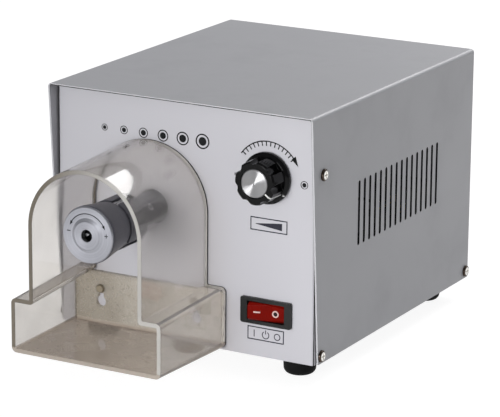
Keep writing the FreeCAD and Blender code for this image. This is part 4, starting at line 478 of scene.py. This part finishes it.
dress(metal("ground_steel", "c9cbce", "a6a9ad", 0.28, 0.5, (1, 0.15, 1)), "motor_shaft",
      "bearing_inner_rings", "bearing_outer_rings", "pivot_pins", "return_ring",
      "blade_arm_1", "blade_arm_2", "blade_arm_3")
dress(ribbed("stacked_core_sheets", "77787c", "4d4e53", 0.45, 1.0, 0.6), "armature_core")
dress(ribbed("enamelled_copper_coils", "b5652f", "7c3f1b", 0.3, 0.85, 0.7, 0.8, 1.5),
      "armature_windings")
dress(ribbed("turned_copper", "d48a62", "b36e49", 0.32, 1.0, 0.4, 0.3), "commutator")
dress(metal("polished_hard_metal", "e2e4e8", "c2c5ca", 0.16, 0.6), "bearing_balls")
dress(metal("ground_carbide", "e6e7ea", "c9cbd0", 0.45, 0.4), "blade_1", "blade_2",
      "blade_3")


def moulded(name, pale, deep, roughness, grain, edge=0.0, ior=1.54, shine=0.5):
    """Injection-moulded plastic: a fine spark-eroded texture of the given size in
    mm, slightly uneven gloss, and edges rounded by the radius given in mm. shine
    under 0.5 is for a skin dulled by handling."""
    made, tree, place = open_finish(name)
    texture = clouds(tree, place, grain, 3.0)
    flow = clouds(tree, place, 9, 2.0)
    gloss = ramp(tree, flow, 0.3, 0.7, roughness * 0.85, roughness * 1.2)
    rounded = {}
    if edge:
        rounded["Normal"] = add(tree, "ShaderNodeBevel", {"Radius": edge * MM}, samples=6)
    close_finish(tree, {"Base Color": blend(tree, flow, deep, pale), "Roughness": gloss,
                        "IOR": ior, "Specular IOR Level": shine,
                        "Normal": bumps(tree, texture, 0.15, 0.02, **rounded)})
    return made


dress(moulded("pressed_carbon", "2e2e30", "1d1d1f", 0.6, 0.4), "carbon_brushes")
black_abs = moulded("black_moulded_abs", "252626", "1b1c1c", 0.32, 0.5, 0.25, shine=0.25)
dress(black_abs, "brush_caps", "power_inlet", "fuse_drawer")


# The stripping head, turned from steel and blackened in oil: a satin slate
# black with faint rings where the tool passed.
SPINDLE = (-20.5, 84.5)
DARK_BORE_RADIUS = 3.2


def reach_from(tree, place, centre, across):
    """The way out from a line through centre, in mm, and the distance along it. across
    is 1 on the two axes that the line doesn't follow."""
    arm = add(tree, "ShaderNodeVectorMath", {
        0: place, 1: tuple(value * MM for value in centre)}, operation="SUBTRACT")
    flat = add(tree, "ShaderNodeVectorMath", {0: arm, 1: across}, operation="MULTIPLY")
    length = add(tree, "ShaderNodeVectorMath", {0: flat}, operation="LENGTH")
    return flat, length.outputs["Value"]


def turned(name, pale, deep, roughness, metallic, pitch, axis, relief, uneven=0.25,
           spread=0.0, bore=0.0):
    """A lathe-turned surface: rings about an axis along Y, pitch mm apart. Light
    streaks across the rings where spread is over 0, as on spun metal. Within the
    radius bore, in mm, it is coloured near black."""
    made, tree, place = open_finish(name)
    flat, reach = reach_from(tree, place, (axis[0], 0, axis[1]), (1, 0, 1))
    depth = add(tree, "ShaderNodeSeparateXYZ", {0: place}).outputs[1]
    rings = add(tree, "ShaderNodeTexNoise", {
        "W": calc(tree, "SUBTRACT", reach, depth), "Scale": 1 / (pitch * MM), "Detail": 2.0},
        noise_dimensions="1D")
    stain = clouds(tree, place, 3, 4.0)
    shade = calc(tree, "ADD", calc(tree, "MULTIPLY", rings, 1 - uneven),
                 calc(tree, "MULTIPLY", stain, uneven))
    near_black_bore = calc(tree, "LESS_THAN", reach, bore * MM)
    tone = blend(tree, near_black_bore, blend(tree, shade, deep, pale), "060606")
    feeds = {"Base Color": tone, "Metallic": metallic, "Roughness": roughness,
             "Normal": bumps(tree, rings, relief, 0.02)}
    if spread:
        way = add(tree, "ShaderNodeVectorMath", {0: flat}, operation="NORMALIZE")
        feeds.update({"Anisotropic": spread, "Tangent": way})
    close_finish(tree, feeds)
    return made


dress(turned("oil_blackened_steel", "6d6d76", "515159", 0.38, 0.35, 0.5, SPINDLE, 0.25),
      "spindle_hub", "head_body", "adjusting_sleeve")
dress(turned("satin_turned_steel", "b9bac1", "8b8c94", 0.34, 0.75, 0.7, SPINDLE, 0.5, 0.2,
             0.4, DARK_BORE_RADIUS), "face_disc")
dress(metal("bright_chrome_plate", "e4e4e8", "cdcdd2", 0.13, 2.0), "hub_grub_screws")
dress(metal("yellow_passivated_zinc", "a79d8c", "958b79", 0.45, 0.8), "guard_screws")

# Engraved and blacked on the disc: an arc arrow over the wire's hole, which
# opens one way and closes the other, with a minus and a plus below its ends.
FACE = -128.4
ENGRAVED = 0.04
ARROW_RADIUS = 11.6
SIGN_OUT, SIGN_UP = 11.5, 1.2
on_face = Matrix.Translation((0, FACE * MM, 0))
marks = [ring_sector(*SPINDLE, ARROW_RADIUS - 0.25, ARROW_RADIUS + 0.25, -60, 60)]
for side in (-1, 1):
    marks.append([on_clock(*SPINDLE, ARROW_RADIUS + out, math.radians(side * degrees))
                  for degrees, out in ((56, 0.85), (68, 0.0), (56, -0.85))])
minus = box_outline(-1.1, 1.1, -0.25, 0.25)
plus = [(-1.1, -0.2), (-0.2, -0.2), (-0.2, -1.1), (0.2, -1.1), (0.2, -0.2), (1.1, -0.2),
        (1.1, 0.2), (0.2, 0.2), (0.2, 1.1), (-0.2, 1.1), (-0.2, 0.2), (-1.1, 0.2)]
for side, sign in ((-1, minus), (1, plus)):
    x, z = SPINDLE[0] + side * SIGN_OUT, SPINDLE[1] + SIGN_UP
    marks.append([(x + right, z + up) for right, up in sign])
piece("cap_arrow", joined([printed([mark], on_face, ENGRAVED) for mark in marks]),
      black_ink, "adjusting_cap")


# The speed knob, in the middle of its dial: black phenolic, moulded with lobes
# and polished in the mould, with a spun aluminium disc pressed into its face.
dress(moulded("polished_black_phenolic", "0b0b0c", "060607", 0.15, 0.8, 0.45, 1.5, 0.16),
      "speed_knob")
dress(turned("spun_aluminium", "a8a8aa", "98989a", 0.29, 1.0, 0.35, DIAL, 0.05, 0.1, 1.0),
      "knob_cap")

# The pointer is a filled groove: white paint from the disc's edge over the
# rim, down the lobe and across the skirt. Each row gives the distance from the
# knob's axis, the depth, and the way out of the surface: outward and forward.
POINTER_TURN = math.radians(126.0)
PAINT = 0.05
HALF_WIDTH = 0.42
PROFILE = [(8.15, -79.6, 0, -1), (10.88, -79.6, 0.4, -1), (11.8, -78.7, 1, -0.4),
           (12.2, -67.95, 1, -0.3), (12.25, -67.8, 0.6, -0.8), (13.08, -67.8, 0.4, -1),
           (13.95, -66.95, 0.9, -0.5)]
strip = bmesh.new()
outward = Vector((math.sin(POINTER_TURN), 0, math.cos(POINTER_TURN)))
sideways = Vector((math.cos(POINTER_TURN), 0, -math.sin(POINTER_TURN)))
rows = []
for reach, depth, away, front in PROFILE:
    foot = Vector((DIAL[0], 0, DIAL[1])) + outward * reach + Vector((0, depth, 0))
    lift = (outward * away + Vector((0, front, 0))).normalized() * PAINT
    rows.append([strip.verts.new((foot + lift * up + sideways * side * HALF_WIDTH) * MM)
                 for up, side in ((-1, -1), (1, -1), (1, 1), (-1, 1))])
for one, two in zip(rows, rows[1:]):
    for i in range(4):
        strip.faces.new((one[i], one[i - 1], two[i - 1], two[i]))
strip.faces.new(rows[0])
strip.faces.new(rows[-1][::-1])
bmesh.ops.recalc_face_normals(strip, faces=strip.faces)
pointer = bpy.data.meshes.new("pointer")
strip.to_mesh(pointer)
strip.free()
piece("knob_pointer", pointer, screen_ink("white_filling_paint", "f2f2f0", "e2e2df"),
      "knob")


# The rocker switch: a black snap-in bezel and a glossy red rocker, its front a
# shallow V with a mark in each half, filled with pale paint.
PIVOT = (51.3, -63.1, 37.0)
REST_TILT = 9
SLOPE = math.atan2(1.0, 10.3)
FILLING = 0.05
dress(black_abs, "switch_housing")
dress(moulded("glossy_red_polycarbonate", "841007", "660a04", 0.24, 1.2, 0.35, 1.5, 0.05),
      "switch_rocker")
tilted = (Matrix.Translation(Vector(PIVOT) * MM)
          @ Matrix.Rotation(math.radians(REST_TILT), 4, "Z"))


def on_rocker(side):
    """Half of the rocker's V-shaped front, seen from its middle."""
    return (tilted @ Matrix.Translation((side * 5.15 * MM, -3.8 * MM, 0))
            @ Matrix.Rotation(-side * SLOPE, 4, "Z"))


piece("rocker_ring_middle", printed([circle(0.2, 0, 1.0)], on_rocker(1), FILLING),
      black_ink, "rocker")
piece("rocker_marks", joined([
    printed([box_outline(-1.9, 1.9, -0.38, 0.38)], on_rocker(-1), FILLING),
    printed([circle(0.2, 0, 1.9), circle(0.2, 0, 1.2)], on_rocker(1), FILLING)]),
    screen_ink("pale_filling_paint", "f1d9d4", "dfc3bd"), "rocker")


# Inside, behind the panel: the speed control's board on brass posts, with its
# heatsink, transistor and capacitor, and the wiring in black PVC.
laminate, tree, place = open_finish("green_glass_laminate")
weave = add(tree, "ShaderNodeTexChecker", {"Vector": place, "Scale": 1 / (0.8 * MM)})
mask = blend(tree, clouds(tree, place, 6, 3.0), "17502a", "226a37")
woven = ramp(tree, weave.outputs["Fac"], 0.0, 1.0, 0.0, 0.12)
close_finish(tree, {"Base Color": blend(tree, woven, mask, "0d3a1c"), "Roughness": 0.35,
                    "IOR": 1.55})
dress(laminate, "control_board")
dress(metal("drawn_brass", "d9b566", "b68f42", 0.3, 0.8, (1, 0.3, 1)), "board_posts",
      "earth_tag", "switch_terminals", "inlet_pins")
dress(black_paint("black_anodised_aluminium", "3f4044", "2c2d30", 0.42, 0.7), "heatsink")
dress(moulded("moulded_epoxy", "303032", "232325", 0.5, 0.6), "power_transistor")
dress(moulded("shrink_sleeve", "26407d", "1a2f61", 0.28, 1.5), "filter_capacitor")
dress(moulded("pvc_wire_sheath", "2c2c2e", "1e1e20", 0.4, 1.0), "lead_wires")

# The fuse in its drawer, of pale glass with bright caps.
glass, tree, place = open_finish("fuse_glass_and_caps")
tone = blend(tree, clouds(tree, place, 2, 2.0), "c3cbc8", "e4ebe8")
close_finish(tree, {"Base Color": tone, "Roughness": 0.12, "Metallic": 0.4, "IOR": 1.5})
dress(glass, "fuse")


# The guard: one moulding of clear acrylic, an arch over a chip tray. Years of
# oil and enamel dust have smoked it: the walls look faintly tan, the edges
# brown, and the tray is filmed and speckled.
GUARD_MIDDLE = -21.2
TRAY_TOP, FULL_FILM = 47, 42
FLOOR_SKIN, FLOOR_TOP = 16.7, 16.1
BACK_WALL = -68.6
MIDDLE_DEPTH, HALF_DEPTH = -98.1, 32.3
SILL = (44.2, 44.8)
EDGE_OUT, EDGE_LOW, LAST_EDGE = 45.2, 44.6, (-67.4, -60)
acrylic, tree, place = open_finish("smoked_clear_acrylic")
part = add(tree, "ShaderNodeSeparateXYZ", {0: place}).outputs
patches = clouds(tree, place, 14, 5.0)
specks = clouds(tree, place, 1.6, 2.0)
streaks = clouds(tree, place, 5, 3.0)
in_tray = ramp(tree, part[2], TRAY_TOP * MM, FULL_FILM * MM, 0.0, 1.0)
on_floor = ramp(tree, part[2], FLOOR_SKIN * MM, FLOOR_TOP * MM, 0.0, 1.0)
on_back = calc(tree, "MULTIPLY", calc(tree, "GREATER_THAN", part[1], BACK_WALL * MM), in_tray)
from_middle = calc(tree, "ABSOLUTE", calc(tree, "SUBTRACT", part[1], MIDDLE_DEPTH * MM))
on_rim = calc(tree, "GREATER_THAN", from_middle, HALF_DEPTH * MM)
on_sill = calc(tree, "MULTIPLY", within(tree, part[2], *SILL), on_back)
off_centre = calc(tree, "ABSOLUTE", calc(tree, "SUBTRACT", part[0], GUARD_MIDDLE * MM))
outline = calc(tree, "MAXIMUM", within(tree, off_centre, EDGE_OUT, 90),
               within(tree, part[2], EDGE_LOW, 200))
by_panel = calc(tree, "MULTIPLY", outline, within(tree, part[1], *LAST_EDGE))

# How much light the dirt stops: a thin film on all walls, thicker in the tray,
# on the cut edges and where the guard meets the panel, and specks on the back.
film = calc(tree, "MULTIPLY", ramp(tree, patches, 0.25, 0.8, 0.12, 0.2),
            ramp(tree, part[2], TRAY_TOP * MM, FULL_FILM * MM, 0.5, 1.0))
for where, extra in ((on_floor, 0.26), (on_back, 0.08), (on_rim, 0.42), (on_sill, 0.4),
                     (by_panel, 0.25)):
    film = calc(tree, "ADD", film, calc(tree, "MULTIPLY", where, extra))
dots = calc(tree, "MULTIPLY", ramp(tree, specks, 0.6, 0.67, 0.0, 0.7), on_back)
clear = calc(tree, "SUBTRACT", 0.97, calc(tree, "ADD", film, dots))

# The dirt's colours. The cut edges are brown at the left and pale towards the right:
# the pale is a painted highlight, for the glints on their rounded edges.
painted_highlight_side = calc(tree, "MULTIPLY", ramp(tree, part[0], -46 * MM, -4 * MM, 0.0, 1.0),
               calc(tree, "SUBTRACT", 1.0, on_floor))
# Painted highlight: the edges' colour pales from left to right.
edge = blend(tree, painted_highlight_side, "8f8575", "f0ede8")
tone = blend(tree, on_back, "efece9", "f4eee2")
tone = blend(tree, on_sill, tone, "6c665c")
tone = blend(tree, calc(tree, "MAXIMUM", on_rim, by_panel), tone, edge)
tone = blend(tree, on_floor, tone, "c3b7ab")
tone = blend(tree, dots, tone, "5a4a3a")
rounding = add(tree, "ShaderNodeBevel", {"Radius": 0.6 * MM}, samples=6)
shader = add(tree, "ShaderNodeBsdfPrincipled", {
    "Base Color": tone, "Roughness": ramp(tree, patches, 0.35, 0.7, 0.04, 0.13),
    "IOR": 1.49, "Transmission Weight": clear,
    "Normal": bumps(tree, streaks, 0.04, 0.05, Normal=rounding)})
passed = blend(tree, by_panel, "fefdfc", "202020")
through = add(tree, "ShaderNodeBsdfTransparent", {"Color": passed})
ray = add(tree, "ShaderNodeLightPath").outputs
lamp_ray = calc(tree, "MAXIMUM", ray["Is Shadow Ray"], ray["Is Diffuse Ray"])
surface = add(tree, "ShaderNodeMixShader", {0: lamp_ray, 1: shader, 2: through})
smoke = add(tree, "ShaderNodeVolumeAbsorption", {"Color": linear("c4baa8"), "Density": 30.0})
add(tree, "ShaderNodeOutputMaterial", {"Surface": surface, "Volume": smoke})
dress(acrylic, "clear_guard")

# A black strip with a cellular texture, round the guard's back edge, is painted shade:
# a dark strip put in the gap between guard and panel, where there is only shade.
# It shows as a dark line along the guard's outline.
ARCH_CENTRE, ARCH_RADIUS = 86.0, 36.2
TRAY_HALF, TRAY_BASE, TRAY_EDGE = 47.7, 12.7, 46.9
TRAY_CORNER, TRAY_NOOK = 3.0, 0.8
SHADE_STRIP_BACK, SHADE_STRIP_THICK, SHADE_STRIP_WIDE = -64.68, 0.86, 0.9


def bend(x, z, radius, start, end, steps=8):
    """Points on a turn, with x from the guard's middle."""
    return clock_arc(GUARD_MIDDLE + x, z, radius, start, end, steps)


def guard_back(inset):
    """The outline of the guard's back edge, set in by inset mm."""
    base, top, arch = TRAY_BASE + inset, TRAY_EDGE - inset, ARCH_RADIUS - inset
    corner, nook = TRAY_CORNER - inset, TRAY_NOOK + inset / 2
    far = TRAY_HALF - inset - corner
    return (bend(0, ARCH_CENTRE, arch, -90, 90, 64)
            + bend(arch + nook, top + nook, nook, 270, 180)
            + bend(far, top - corner, corner, 0, 90)
            + bend(far, base + corner, corner, 90, 180)
            + bend(-far, base + corner, corner, 180, 270)
            + bend(-far, top - corner, corner, 270, 360)
            + bend(-arch - nook, top + nook, nook, 180, 90))


# Painted shade: the strip's black stands for the shade in the gap.
gap_shade_strip, tree, place = open_finish("black_strip_painted_gap_shade")
cells = add(tree, "ShaderNodeTexVoronoi", {
    "Vector": place, "Scale": 1 / (0.6 * MM)}).outputs["Distance"]
close_finish(tree, {"Base Color": blend(tree, cells, "101010", "242423"), "Roughness": 0.9,
                    "Normal": bumps(tree, cells, 0.6, 0.1), "Specular IOR Level": 0.2})
on_back_edge = Matrix.Translation((0, SHADE_STRIP_BACK * MM, 0))
piece("guard_gap_shade_strip", printed([guard_back(0.0), guard_back(SHADE_STRIP_WIDE)], on_back_edge,
                            SHADE_STRIP_THICK), gap_shade_strip, "guard")


# The cover: an inverted U of sheet steel with punched vent slots, held by three
# nickel-plated pan-head screws a side. Its silver grey is coloured darker than the
# panel's: painted shade, for the same enamel lit less.
SKIN = 80.9
VENTS_ALONG, VENTS_UP = (-19.0, 80.5), (66.0, 103.2)
LIP = 146.9
LIP_BASE, LIP_OUT = 145.4, 79.5
INNER_SIDE = (79.0, 80.1)


def painted_shade_in_vents_and_lips(tree, place):
    """Where shade is painted, near black: the vents' walls, the sheet behind them, the
    lower part of the visor's cut edge and the side plates' cut edges by the panel."""
    part = add(tree, "ShaderNodeSeparateXYZ", {0: place}).outputs
    out = calc(tree, "ABSOLUTE", part[0])
    row = calc(tree, "MULTIPLY", within(tree, part[1], *VENTS_ALONG),
               within(tree, part[2], *VENTS_UP))
    slots = calc(tree, "MULTIPLY", within(tree, out, 0, SKIN), row)
    low = calc(tree, "MULTIPLY", within(tree, part[2], LIP_BASE, LIP),
               within(tree, out, 0, LIP_OUT))
    inner = calc(tree, "MULTIPLY", within(tree, part[0], *INNER_SIDE),
                 within(tree, part[2], 0, LIP))
    lip = calc(tree, "MULTIPLY", calc(tree, "MAXIMUM", low, inner),
               within(tree, part[1], *BY_PANEL))
    return calc(tree, "MAXIMUM", slots, lip)


# The cover's bends and front cut edges take cfcfd3, a painted highlight, and its vents and lips
# painted shade.
dress(enamelled("grey_sprayed_enamel", "c4c4c8", "b8b8bc", "b0b0b4", 0.42, "cfcfd3",
                painted_shade_in_vents_and_lips), "top_cover")

# Nickel on the screws is bright on the crown, and a dark brown mottle is painted round
# the rim: a painted reflection, for the dark room mirrored at the dome's edge.
SIDE_SCREWS = ((-58.8, 115.1), (-58.8, 15.7), (121.9, 15.7))
nickel, tree, place = open_finish("nickel_plate_painted_reflection")
reaches = [reach_from(tree, place, (0, y, z), (0, 1, 1))[1] for y, z in SIDE_SCREWS]
nearest = calc(tree, "MINIMUM", calc(tree, "MINIMUM", *reaches[:2]), reaches[2])
painted_dark_rim = blend(tree, clouds(tree, place, 0.9, 3.0), "2c2622", "564a41")
tone = blend(tree, ramp(tree, nearest, 1.9 * MM, 2.6 * MM, 0.0, 1.0), "f2f0ec", painted_dark_rim)
close_finish(tree, {"Base Color": tone, "Metallic": 1.0, "Roughness": 0.2})
dress(nickel, "cover_screws")


# The studio: a white sweep that keeps the machine's shadow, an even grey room
# and three soft lamps: ahead, behind and above, and overhead.
FLOOR_SIDE = 6.0
paper, tree, place = open_finish("white_paper_sweep")
lit = add(tree, "ShaderNodeBsdfDiffuse", {
    "Color": blend(tree, clouds(tree, place, 3, 3.0), "c2c2c2", "c8c8c8")})
white = add(tree, "ShaderNodeEmission", {"Color": (1, 1, 1, 1), "Strength": 0.9})
ray = add(tree, "ShaderNodeLightPath").outputs
seen = calc(tree, "MAXIMUM", ray["Is Camera Ray"], ray["Is Glossy Ray"])
seen = calc(tree, "MAXIMUM", seen, ray["Is Transmission Ray"])
dimmed = add(tree, "ShaderNodeBsdfDiffuse", {"Color": (0.25, 0.25, 0.25, 1)})
glow = add(tree, "ShaderNodeAddShader", {0: dimmed, 1: white})
surface = add(tree, "ShaderNodeMixShader", {0: seen, 1: lit, 2: glow})
add(tree, "ShaderNodeOutputMaterial", {"Surface": surface})
floor_mesh = bpy.data.meshes.new("floor")
floor_mesh.from_pydata([(x * FLOOR_SIDE, y * FLOOR_SIDE, 0)
                        for x, y in ((-1, -1), (1, -1), (1, 1), (-1, 1))], [], [(0, 1, 2, 3)])
floor_mesh.materials.append(paper)
floor = bpy.data.objects.new("floor", floor_mesh)
bpy.context.scene.collection.objects.link(floor)

room = bpy.data.worlds.new("studio_room")
room.use_nodes = True
room.node_tree.nodes.clear()
wall = add(room.node_tree, "ShaderNodeBackground", {
    "Color": (0.97, 0.98, 1.0, 1), "Strength": 0.3})
add(room.node_tree, "ShaderNodeOutputWorld", {"Surface": wall})
bpy.context.scene.world = room


def soft_lamp(name, spot, target, width, height, power, spread=180.0):
    lamp = bpy.data.lights.new(name, "AREA")
    lamp.shape = "RECTANGLE"
    lamp.size, lamp.size_y, lamp.energy = width, height, power
    lamp.spread = math.radians(spread)
    made = bpy.data.objects.new(name, lamp)
    bpy.context.scene.collection.objects.link(made)
    look = (Vector(target) - Vector(spot)).to_track_quat("-Z", "Y")
    made.matrix_world = Matrix.Translation(spot) @ look.to_matrix().to_4x4()


# The key lamp's grid narrows it to 65 degrees, and it is turned to the right,
# so that the panel pales from left to right.
soft_lamp("key_lamp", (0.12, -1.26, 0.23), (0.42, -0.06, 0.11), 0.9, 0.42, 2.25, 65.0)
soft_lamp("back_lamp", (0.14, 0.95, 0.80), (0, 0, 0.12), 0.75, 0.4, 5.5)
soft_lamp("top_lamp", (0.1, 0.2, 1.6), (0, 0, 0.1), 0.9, 0.9, 3.0)
